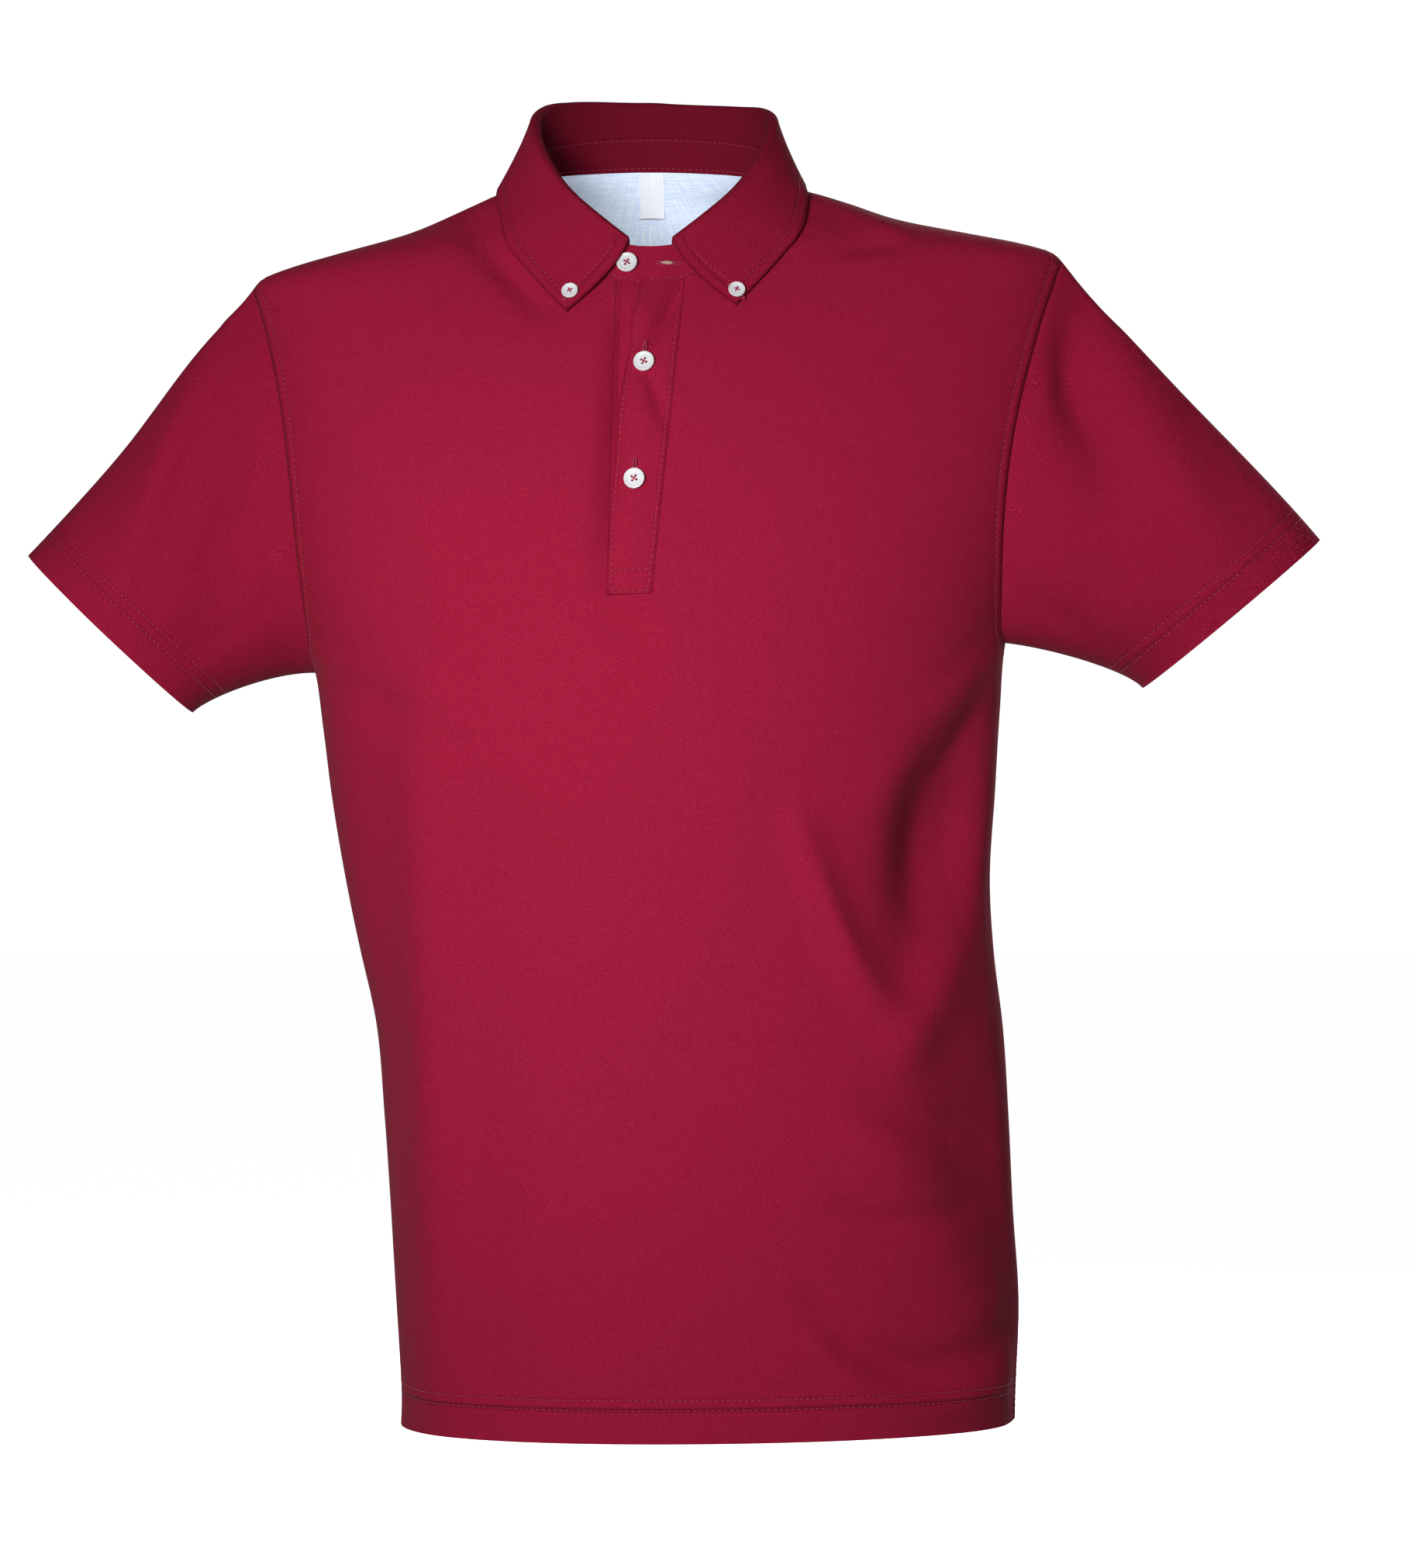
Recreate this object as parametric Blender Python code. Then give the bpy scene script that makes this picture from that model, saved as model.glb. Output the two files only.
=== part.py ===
"""Short-sleeved polo shirt with a button-down collar, filled out as when it is worn.

Metres, +Z up. The shirt's front faces -Y and the wearer's left is +X, so a panel
named left hangs at -X, as it is seen from the front. The origin is the middle of the
neck opening, at the height of the points where the shoulder seams reach the neck.
Every piece is a wall of cloth on the same few surfaces: the torso, given by rings,
a sleeve on each side, lofted from its armhole to its cuff, and the collar's profile.
"""

import math
from collections import namedtuple

import bmesh
import bpy
import numpy as np
from mathutils import Matrix, Vector

# Cloth
CLOTH = 0.0016
TRIM_CLOTH = 0.0010
SEAM_GAP = 0.0003
LAYER_STEP = 0.0020

# Levels of the body's own lines
NECK_POINT_LEVEL = 0.003
SHOULDER_TIP_LEVEL = -0.048
ARMPIT_LEVEL = -0.271
VENT_LEVEL = -0.664
HEM_LEVEL = -0.708
VENT_OPENING = 0.0025

# Neck opening
NECK_HALF_WIDTH = 0.070
NECK_FRONT_DROP = 0.065
NECK_BACK_RISE = 0.0116
NECK_DROP_POWER = 1.15

# Armhole: how far it reaches round to the front and back, as a cosine
ARMHOLE_REACH = 0.43

# Counts of faces along the panels' edges
SHOULDER_ROWS = 5
ARMHOLE_ROWS = 10
SIDE_ROWS = 12
PANEL_ROWS = SHOULDER_ROWS + ARMHOLE_ROWS + SIDE_ROWS
NOTCH_ROWS = 11
FRONT_COLUMNS = 9
NOTCH_COLUMNS = 2
BACK_COLUMNS = 20
SLEEVE_ROWS = 9
PLACKET_COLUMNS = 2
STAND_ROWS = 2

# Colours, as linear red, green and blue
BURGUNDY = (0.355, 0.014, 0.051, 1.0)
PALE_BLUE = (0.62, 0.72, 0.90, 1.0)
WHITE = (0.85, 0.87, 0.90, 1.0)

# Rings of the torso: the level, the middle and half width, the depths to the front and
# the back, how far the cloth is turned about the body, and how far the ring leans
Ring = namedtuple("Ring", "level middle half_width front back turn lean")
RINGS = (
    Ring(-0.7400, 0.0320, 0.1760, 0.1220, 0.1180, -8.0, 0.010),
    Ring(-0.6940, 0.0321, 0.1767, 0.1215, 0.1175, -8.5, 0.010),
    Ring(-0.6410, 0.0312, 0.1795, 0.1200, 0.1160, -9.5, 0.006),
    Ring(-0.5870, 0.0276, 0.1798, 0.1200, 0.1130, -11.0, 0.000),
    Ring(-0.5340, 0.0243, 0.1806, 0.1200, 0.1095, -12.0, 0.000),
    Ring(-0.4810, 0.0203, 0.1812, 0.1205, 0.1080, -12.0, 0.000),
    Ring(-0.4410, 0.0140, 0.1826, 0.1210, 0.1080, -12.0, 0.000),
    Ring(-0.4000, 0.0092, 0.1850, 0.1225, 0.1085, -12.0, 0.002),
    Ring(-0.3470, 0.0068, 0.1905, 0.1265, 0.1110, -11.0, 0.012),
    Ring(-0.3070, 0.0058, 0.1940, 0.1280, 0.1145, -9.0, 0.028),
    Ring(-0.2710, 0.0050, 0.1980, 0.1265, 0.1190, -6.5, 0.042),
    Ring(-0.2400, 0.0050, 0.2060, 0.1245, 0.1212, -4.8, 0.042),
    Ring(-0.2000, 0.0045, 0.2160, 0.1190, 0.1215, -4.0, 0.040),
    Ring(-0.1500, 0.0040, 0.2245, 0.1080, 0.1160, -2.8, 0.038),
    Ring(-0.1100, 0.0040, 0.2285, 0.0930, 0.1075, -1.6, 0.036),
    Ring(-0.0800, 0.0040, 0.2305, 0.0780, 0.0985, -0.9, 0.036),
    Ring(-0.0620, 0.0038, 0.2320, 0.0670, 0.0925, -0.5, 0.036),
    Ring(-0.0500, 0.0034, 0.2310, 0.0595, 0.0885, -0.3, 0.035),
    Ring(-0.0455, 0.0030, 0.2255, 0.0565, 0.0870, 0.0, 0.034),
    Ring(-0.0400, 0.0026, 0.2090, 0.0535, 0.0848, 0.0, 0.033),
    Ring(-0.0335, 0.0020, 0.1820, 0.0490, 0.0820, 0.0, 0.031),
    Ring(-0.0240, 0.0015, 0.1420, 0.0410, 0.0778, 0.0, 0.028),
    Ring(-0.0140, 0.0010, 0.1150, 0.0310, 0.0732, 0.0, 0.022),
    Ring(-0.0040, 0.0005, 0.0890, 0.0215, 0.0684, 0.0, 0.010),
    Ring(0.0030, 0.0000, 0.0700, 0.0160, 0.0645, 0.0, 0.000),
    Ring(0.0146, 0.0000, 0.0640, 0.0120, 0.0580, 0.0, 0.000),
    Ring(0.0300, 0.0000, 0.0580, 0.0100, 0.0520, 0.0, 0.000),
)
RING_SQUARENESS = 0.03

# Largest folds, seen from the front: each bends from its start past a middle point to its
# end, is a soft ridge where its height is positive and a trough where it is negative,
# and lies on the front (-1) or on the back (+1)
Fold = namedtuple("Fold", "side start middle end width height")
FOLDS = (
    Fold(-1, (0.086, -0.367), (0.105, -0.440), (0.148, -0.486), 0.020, 0.0065),
    Fold(-1, (0.142, -0.488), (0.165, -0.450), (0.183, -0.400), 0.018, 0.0050),
    Fold(-1, (0.140, -0.345), (0.155, -0.380), (0.150, -0.425), 0.022, -0.0080),
    Fold(-1, (0.178, -0.310), (0.170, -0.350), (0.160, -0.400), 0.018, -0.0040),
    Fold(-1, (0.165, -0.500), (0.185, -0.560), (0.190, -0.620), 0.022, -0.0060),
    Fold(-1, (0.120, -0.520), (0.130, -0.560), (0.165, -0.590), 0.020, 0.0035),
    Fold(-1, (-0.128, -0.300), (-0.122, -0.480), (-0.118, -0.690), 0.018, 0.0035),
    Fold(-1, (-0.100, -0.330), (-0.092, -0.480), (-0.090, -0.660), 0.020, -0.0025),
    Fold(-1, (-0.205, -0.095), (-0.160, -0.150), (-0.120, -0.205), 0.016, 0.0030),
    Fold(-1, (0.185, -0.270), (0.160, -0.310), (0.130, -0.350), 0.015, 0.0040),
    Fold(-1, (-0.180, -0.275), (-0.150, -0.300), (-0.115, -0.320), 0.014, -0.0030),
    Fold(1, (-0.150, -0.300), (-0.110, -0.370), (-0.060, -0.420), 0.020, 0.0050),
    Fold(1, (-0.145, -0.350), (-0.115, -0.410), (-0.085, -0.450), 0.018, -0.0055),
    Fold(1, (0.170, -0.290), (0.120, -0.350), (0.070, -0.390), 0.020, 0.0045),
    Fold(1, (0.150, -0.400), (0.140, -0.520), (0.145, -0.650), 0.022, -0.0050),
    Fold(1, (-0.095, -0.470), (-0.085, -0.570), (-0.090, -0.680), 0.022, 0.0045),
    Fold(1, (0.045, -0.480), (0.050, -0.570), (0.055, -0.670), 0.024, 0.0035),
    Fold(1, (-0.120, -0.090), (0.000, -0.105), (0.120, -0.088), 0.018, -0.0025),
)
FOLD_SEAM_FADE = 0.25

# Cuffs and the way the cloth leaves its armhole over and under the arm
Sleeve = namedtuple("Sleeve", "cuff_middle cuff_top half_depth over under folds")
SLEEVES = {
    "left": Sleeve(
        (-0.3100, -0.004, -0.2570), (-0.3570, -0.004, -0.2120), 0.050, (-0.58, 0.0, -0.81), (-0.97, 0.0, 0.05),
        (
            Fold(-1, (-0.238, -0.095), (-0.262, -0.150), (-0.296, -0.235), 0.016, 0.0045),
            Fold(-1, (-0.215, -0.165), (-0.235, -0.215), (-0.262, -0.262), 0.016, -0.0040),
            Fold(1, (-0.225, -0.130), (-0.255, -0.180), (-0.290, -0.240), 0.018, -0.0045),
        ),
    ),
    "right": Sleeve(
        (0.3324, -0.004, -0.2455), (0.3831, -0.004, -0.2030), 0.050, (0.62, 0.0, -0.78), (0.95, 0.0, -0.10),
        (
            Fold(-1, (0.240, -0.085), (0.252, -0.150), (0.280, -0.215), 0.017, -0.0045),
            Fold(-1, (0.262, -0.105), (0.290, -0.150), (0.325, -0.205), 0.018, 0.0035),
            Fold(1, (0.232, -0.120), (0.262, -0.170), (0.300, -0.220), 0.018, 0.0045),
        ),
    ),
}
SIDE_SIGN = {"left": -1.0, "right": 1.0}
SLEEVE_BULGE = 0.12
CUFF_PULL_OVER = 0.90
CUFF_PULL_UNDER = 0.45
SLEEVE_FOLD_START = 0.18

# Placket: where its seams and the upper free edge run, as x at the neck and at the foot
PLACKET_FOOT = -0.2377
PLACKET_LEFT_SEAM = (-0.0194, -0.0239)
PLACKET_RIGHT_SEAM = (0.0196, 0.0015)
UPPER_FREE_EDGE = (-0.0055, -0.0236)
UNDER_FREE_EDGE = (0.0060, 0.0012)
PLACKET_CLOSE_POWER = 1.6
FRONT_LINE_FOOT_SHIFT = 0.018

# Collar stand: its upper edge, and the leaf that is sewn to it
STAND_HALF_WIDTH = 0.0665
STAND_FRONT = 0.0585
STAND_BACK = 0.0545
STAND_SIDE_LEVEL = 0.019
STAND_FRONT_DROP = 0.0590
STAND_BACK_RISE = 0.015
LEAF_END_ANGLE = 10.5
ROLL_RADIUS = 0.0034
ROLL_ROWS = 4
RISE_ROWS = 2
FALL_ROWS = 5
LEAF_LIFT = 0.0034
COLLAR_MIDDLE_SHIFT = 0.0030
COLLAR_BACK_LEAN = -0.035

# Leaf stations from the back to the front end: the angle round the neck from the front,
# the height of the fold, and the outer edge as an angle and a level on the torso
LeafStation = namedtuple("LeafStation", "angle fold_height edge_angle edge_level")
LEAF_STATIONS = (
    LeafStation(10.5, -0.0345, 11.8, -0.0775),
    LeafStation(25.0, -0.0215, 16.4, -0.0560),
    LeafStation(45.0, -0.0035, 28.0, -0.0320),
    LeafStation(65.0, 0.0145, 52.0, -0.0120),
    LeafStation(90.0, 0.0330, 90.0, -0.0030),
    LeafStation(112.0, 0.0440, 113.0, -0.0015),
    LeafStation(135.0, 0.0520, 135.0, 0.0000),
    LeafStation(180.0, 0.0555, 180.0, 0.0010),
)

# Neck facing and label inside the back
FACING_ROWS = 3
FACING_MARGIN = 3
LABEL_WIDTH = 0.014
LABEL_ROWS = (0.06, 0.96)

# Buttons: the place of each on the front, seen from the front
BUTTON_RADIUS = 0.0060
COLLAR_BUTTON_RADIUS = 0.0048
BUTTON_THICKNESS = 0.0022
BUTTON_RIM = 0.0006
BUTTON_SEAT = 0.0009
NECK_BUTTON_ANGLE = -11.0
NECK_BUTTON_HEIGHT = 0.50
PLACKET_BUTTONS = {"button_second": (-0.0028, -0.1076), "button_third": (-0.0079, -0.1741)}
COLLAR_BUTTONS = {"collar_button_left": (-0.0450, -0.0671), "collar_button_right": (0.0485, -0.0665)}


# Curves and surfaces

def smooth(knots, values, at):
    """The smooth curve through a table's values."""
    knots = np.asarray(knots, float)
    values = np.asarray(values, float)
    slopes = np.gradient(values, knots)
    low = np.clip(np.searchsorted(knots, at) - 1, 0, len(knots) - 2)
    span = knots[low + 1] - knots[low]
    s = (at - knots[low]) / span
    rise = 3 * s**2 - 2 * s**3
    return (
        values[low] * (1 - rise)
        + values[low + 1] * rise
        + slopes[low] * span * (s**3 - 2 * s**2 + s)
        + slopes[low + 1] * span * (s**3 - s**2)
    )


def ring_value(name, level):
    """One column of the ring table at any level."""
    return smooth([ring.level for ring in RINGS], [getattr(ring, name) for ring in RINGS], level)


def ease(amount):
    """Zero to one with soft ends."""
    amount = np.clip(amount, 0.0, 1.0)
    return amount * amount * (3 - 2 * amount)


def unit(vectors):
    """Vectors of length one."""
    return vectors / np.linalg.norm(vectors, axis=-1, keepdims=True)


def fold_height(fold, x, z):
    """How far one fold lifts the cloth at a place seen from the front."""
    start, middle, end = (np.array(point) for point in (fold.start, fold.middle, fold.end))
    steps = np.linspace(0.0, 1.0, 9)[:, None]
    spine = start * (1 - steps) ** 2 + middle * 2 * steps * (1 - steps) + end * steps**2
    nearest = np.full(np.shape(x), np.inf)
    along = np.zeros(np.shape(x))
    for index, (tail, head) in enumerate(zip(spine[:-1], spine[1:])):
        run = head - tail
        s = np.clip(((x - tail[0]) * run[0] + (z - tail[1]) * run[1]) / (run @ run), 0.0, 1.0)
        away = np.hypot(x - tail[0] - s * run[0], z - tail[1] - s * run[1])
        along = np.where(away < nearest, (index + s) / (len(spine) - 1), along)
        nearest = np.minimum(nearest, away)
    swell = 0.45 + 0.55 * np.sin(math.pi * along)
    return fold.height * swell * np.exp(-((nearest / fold.width) ** 2))


def smooth_torso(angle, level):
    """The torso without its folds. The angle runs from the front towards +X, in radians."""
    middle = ring_value("middle", level)
    turned = angle + np.radians(ring_value("turn", level))
    swell = 1.0 + RING_SQUARENESS * np.sin(2 * turned) ** 2
    depth = np.where(np.cos(turned) > 0, ring_value("front", level), ring_value("back", level))
    x = middle + ring_value("half_width", level) * np.sin(turned) * swell
    y = -depth * np.cos(turned) * swell
    return np.stack([x, y, level + ring_value("lean", level) * x], axis=-1)


def surface_normal(surface, first, second, step_first, step_second):
    """The outward normal of a surface given by two parameters."""
    across = surface(first + step_first, second) - surface(first - step_first, second)
    along = surface(first, second + step_second) - surface(first, second - step_second)
    return unit(np.cross(across, along))


def torso(angle, level):
    """The torso's outer face, with its folds."""
    angle, level = np.broadcast_arrays(np.asarray(angle, float), np.asarray(level, float))
    points = smooth_torso(angle, level)
    outward = surface_normal(smooth_torso, angle, level, 0.002, 0.0004)
    lift = np.zeros(angle.shape)
    for fold in FOLDS:
        facing = ease(-fold.side * np.cos(angle) / FOLD_SEAM_FADE)
        lift = lift + facing * fold_height(fold, points[..., 0], points[..., 2])
    return points + outward * lift[..., None]


def torso_normal(angle, level):
    """The torso's outward normal."""
    return surface_normal(torso, angle, level, 0.004, 0.0008)


def to_torso(points):
    """The angle and level of points near the torso. Angles run from -90 to 270 degrees."""
    x, y, z = points[..., 0], points[..., 1], points[..., 2]
    level = z - ring_value("lean", z) * x
    depth = np.where(y < 0, ring_value("front", level), ring_value("back", level))
    turned = np.arctan2((x - ring_value("middle", level)) / ring_value("half_width", level), -y / depth)
    angle = turned - np.radians(ring_value("turn", level))
    return np.where(angle < math.radians(-130), angle + 2 * math.pi, angle), level


def on_front(x, level):
    """The torso's angle at a place on the front."""
    turned = np.arcsin((x - ring_value("middle", level)) / ring_value("half_width", level))
    return turned - np.radians(ring_value("turn", level))


def neckline(around):
    """The neckline's angle and level. It runs by the angle round the neck from the front."""
    cosine = np.cos(around)
    drop = NECK_FRONT_DROP * np.abs(cosine) ** NECK_DROP_POWER
    level = NECK_POINT_LEVEL + np.where(cosine > 0, -drop, -NECK_BACK_RISE * cosine)
    offset = NECK_HALF_WIDTH * np.sin(around) * (1 - 1e-9) - ring_value("middle", level) * np.abs(cosine)
    turned = np.arcsin(np.clip(offset / ring_value("half_width", level), -1.0, 1.0))
    turned = np.where(cosine > 0, turned, around)
    return turned - np.radians(ring_value("turn", level)), level


def armhole(side, around):
    """The armhole's angle and level: 0 at the shoulder tip, the front first, 180 at the armpit."""
    middle = (SHOULDER_TIP_LEVEL + ARMPIT_LEVEL) / 2
    half = (SHOULDER_TIP_LEVEL - ARMPIT_LEVEL) / 2
    angle = SIDE_SIGN[side] * np.arccos(ARMHOLE_REACH * np.sin(around))
    return angle, middle + half * np.cos(around)


def smooth_sleeve(side, around, down):
    """A sleeve without its folds. It runs from the armhole, at 0, down to the cuff, at 1."""
    around, down = np.broadcast_arrays(np.asarray(around, float), np.asarray(down, float))
    sleeve = SLEEVES[side]
    middle = np.array(sleeve.cuff_middle)
    reach = np.array(sleeve.cuff_top) - middle
    axis = unit(np.array([SIDE_SIGN[side] * -reach[2], 0.0, SIDE_SIGN[side] * reach[0]]))
    axis = axis * -np.sign(axis[2])
    top = torso(*armhole(side, around))
    cuff = middle + np.cos(around)[..., None] * reach
    cuff = cuff - np.stack([0 * around, sleeve.half_depth * np.sin(around), 0 * around], axis=-1)
    length = np.linalg.norm(cuff - top, axis=-1)[..., None]
    over = ((1 + np.cos(around)) / 2)[..., None]
    leave = np.array(sleeve.over) * over + np.array(sleeve.under) * (1 - over)
    leave = leave - np.stack([0 * around, SLEEVE_BULGE * np.sin(around), 0 * around], axis=-1)
    arrive = axis * (CUFF_PULL_OVER * over + CUFF_PULL_UNDER * (1 - over))
    s = down[..., None]
    rise = 3 * s**2 - 2 * s**3
    return (
        top * (1 - rise)
        + cuff * rise
        + leave * length * (s**3 - 2 * s**2 + s)
        + arrive * length * (s**3 - s**2)
    )


def sleeve_surface(side, around, down):
    """A sleeve's outer face, with its folds."""
    around, down = np.broadcast_arrays(np.asarray(around, float), np.asarray(down, float))
    points = smooth_sleeve(side, around, down)
    outward = sleeve_normal(side, around, down, smooth_sleeve)
    lift = np.zeros(around.shape)
    for fold in SLEEVES[side].folds:
        facing = ease(-fold.side * np.sin(around) / 0.4) * ease(down / SLEEVE_FOLD_START)
        lift = lift + facing * fold_height(fold, points[..., 0], points[..., 2])
    return points + outward * lift[..., None]


def sleeve_normal(side, around, down, surface=sleeve_surface):
    """A sleeve's outward normal."""
    def place(first, second):
        return surface(side, first, second)
    return SIDE_SIGN[side] * surface_normal(place, around, down, 0.01, 0.004)


def armhole_normal(side, around):
    """The normal that the body and the sleeve share at their seam."""
    return unit(torso_normal(*armhole(side, around)) + sleeve_normal(side, around, 0.01 + 0 * around))


def stand_outward(around):
    """The level direction out of the neck."""
    return unit(np.stack([
        np.sin(around) / STAND_HALF_WIDTH,
        -np.cos(around) / STAND_FRONT,
        0 * around,
    ], axis=-1))


def stand_top(around):
    """The upper edge of the collar stand, on its outer face."""
    cosine = np.cos(around)
    depth = np.where(cosine > 0, STAND_FRONT, STAND_BACK)
    drop = STAND_FRONT_DROP * np.abs(cosine) ** NECK_DROP_POWER
    level = STAND_SIDE_LEVEL + np.where(cosine > 0, -drop, -STAND_BACK_RISE * cosine)
    shift = COLLAR_MIDDLE_SHIFT * (1 - np.maximum(cosine, 0)) / 2
    return np.stack([shift + STAND_HALF_WIDTH * np.sin(around), -depth * cosine, level], axis=-1)


def neck_normal(around):
    """The normal that the body and the stand share at the neckline."""
    return unit(torso_normal(*neckline(around)) + stand_outward(around))


def grid_normal(points):
    """The normals of a grid of points, from its rows and columns."""
    return unit(np.cross(np.gradient(points, axis=1), np.gradient(points, axis=0)))


# Cloth walls

def material(name, colour, roughness):
    """A plain finish for one kind of piece."""
    finish = bpy.data.materials.new(name)
    finish.use_nodes = True
    shader = finish.node_tree.nodes["Principled BSDF"]
    shader.inputs["Base Color"].default_value = colour
    shader.inputs["Roughness"].default_value = roughness
    shader.inputs["Metallic"].default_value = 0.0
    return finish


def add_object(name, bm, finish):
    """Put a closed mesh into the scene."""
    bmesh.ops.recalc_face_normals(bm, faces=bm.faces[:])
    mesh = bpy.data.meshes.new(name)
    bm.to_mesh(mesh)
    bm.free()
    mesh.materials.append(finish)
    mesh.shade_smooth()
    mesh.set_sharp_from_angle(angle=math.radians(50))
    made = bpy.data.objects.new(name, mesh)
    bpy.context.scene.collection.objects.link(made)
    return made


def cloth_wall(name, outer, inner, finish, tube=False, hole=None):
    """A closed wall of cloth between two grids of points, with an optional hole in the grid.

    The hole is given as its last row and its first and last columns, from the top edge.
    """
    rows, columns = outer.shape[:2]
    bm = bmesh.new()
    bmesh.ops.create_grid(bm, x_segments=columns - 1, y_segments=rows - 1, size=1.0)
    place = bm.verts.layers.int.new("place")
    bm.verts.ensure_lookup_table()
    for index, vertex in enumerate(bm.verts):
        vertex[place] = index
    if hole:
        last_row, first_column, last_column = hole
        cut = [
            face for face in bm.faces
            if max(vertex[place] // columns for vertex in face.verts) <= last_row
            and min(vertex[place] % columns for vertex in face.verts) >= first_column
            and max(vertex[place] % columns for vertex in face.verts) <= last_column
        ]
        bmesh.ops.delete(bm, geom=cut, context="FACES")
    for vertex in bm.verts:
        vertex.co = outer[vertex[place] // columns, vertex[place] % columns]
    if tube:
        bmesh.ops.remove_doubles(bm, verts=bm.verts[:], dist=1e-6)
    turned = bmesh.ops.extrude_face_region(bm, geom=bm.faces[:], use_keep_orig=True)
    for item in turned["geom"]:
        if isinstance(item, bmesh.types.BMVert):
            item.co = inner[item[place] // columns, item[place] % columns]
    bmesh.ops.triangulate(bm, faces=bm.faces[:], quad_method="FIXED")
    return add_object(name, bm, finish)


def pull_edge(points, edge, distance):
    """Draw one edge of a grid back from its seam, square to the edge."""
    grid = {"top": points, "bottom": points[::-1], "first": points.swapaxes(0, 1),
            "last": points.swapaxes(0, 1)[::-1]}[edge]
    run = unit(np.gradient(grid[0], axis=0))
    inward = grid[1] - grid[0]
    inward = inward - np.sum(inward * run, axis=-1, keepdims=True) * run
    grid[0] += unit(inward) * np.reshape(distance, (-1, 1))


def coons(top, bottom, first, last):
    """Points inside four edges, each given as angles and levels on the torso."""
    edges = [torso(*edge) for edge in (top, bottom, first, last)]
    top_p, bottom_p, first_p, last_p = edges
    u = np.linspace(0, 1, len(top_p))[None, :, None]
    v = np.linspace(0, 1, len(first_p))[:, None, None]
    points = (
        (1 - v) * top_p[None] + v * bottom_p[None] + (1 - u) * first_p[:, None] + u * last_p[:, None]
        - (1 - u) * (1 - v) * top_p[0] - u * (1 - v) * top_p[-1]
        - (1 - u) * v * bottom_p[0] - u * v * bottom_p[-1]
    )
    angle, level = to_torso(points)
    for grid, k in ((angle, 0), (level, 1)):
        grid[0], grid[-1] = top[k], bottom[k]
        grid[:, 0], grid[:, -1] = first[k], last[k]
    return angle, level


def outer_line(side, half):
    """A panel's outer edge: shoulder seam, armhole and side seam, for its front or back half."""
    sign = SIDE_SIGN[side]
    seam = sign * math.pi / 2
    if half == "back" and side == "left":
        seam = seam + 2 * math.pi
    shoulder = np.linspace(NECK_POINT_LEVEL, SHOULDER_TIP_LEVEL, SHOULDER_ROWS + 1)
    reach = np.linspace(0, math.pi, ARMHOLE_ROWS + 1)
    angle, level = armhole(side, reach if half == "front" else 2 * math.pi - reach)
    if half == "back" and side == "left":
        angle = angle + 2 * math.pi
    down = np.linspace(ARMPIT_LEVEL, HEM_LEVEL, SIDE_ROWS + 1)
    angles = np.concatenate([np.full(SHOULDER_ROWS, seam), angle, np.full(SIDE_ROWS, seam)])
    return angles, np.concatenate([shoulder[:-1], level, down[1:]])


def panel_normals(angle, level, side_columns, half):
    """A panel's normals, with the shared ones along the armholes."""
    normals = torso_normal(angle, level)
    reach = np.linspace(0, math.pi, ARMHOLE_ROWS + 1)
    around = reach if half == "front" else 2 * math.pi - reach
    rows = slice(SHOULDER_ROWS, SHOULDER_ROWS + ARMHOLE_ROWS + 1)
    for side, column in side_columns.items():
        normals[rows, column] = armhole_normal(side, around)
    return normals


def seam_distances():
    """How far a panel's outer edge stands back from its seam, opening into the vent."""
    levels = outer_line("right", "front")[1]
    opening = np.clip((VENT_LEVEL - levels) / (VENT_LEVEL - HEM_LEVEL), 0, 1)
    opening[: SHOULDER_ROWS + ARMHOLE_ROWS] = 0
    return SEAM_GAP / 2 + VENT_OPENING * opening


def placket_edge(edge, fraction):
    """The x of one of the placket's long edges, from the neck to the foot."""
    power = PLACKET_CLOSE_POWER if edge in (UPPER_FREE_EDGE, UNDER_FREE_EDGE) else 1.0
    return edge[1] + (edge[0] - edge[1]) * (1 - fraction) ** power


def neck_angle(x):
    """The angle round the neck where the front neckline has this x."""
    return np.arcsin(x / NECK_HALF_WIDTH)


def placket_line(edge, fractions):
    """Angles and levels on the torso along one of the placket's long edges."""
    start_level = neckline(neck_angle(np.array(edge[0])))[1]
    level = start_level + (PLACKET_FOOT - start_level) * fractions
    return on_front(placket_edge(edge, fractions), level), level


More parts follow.
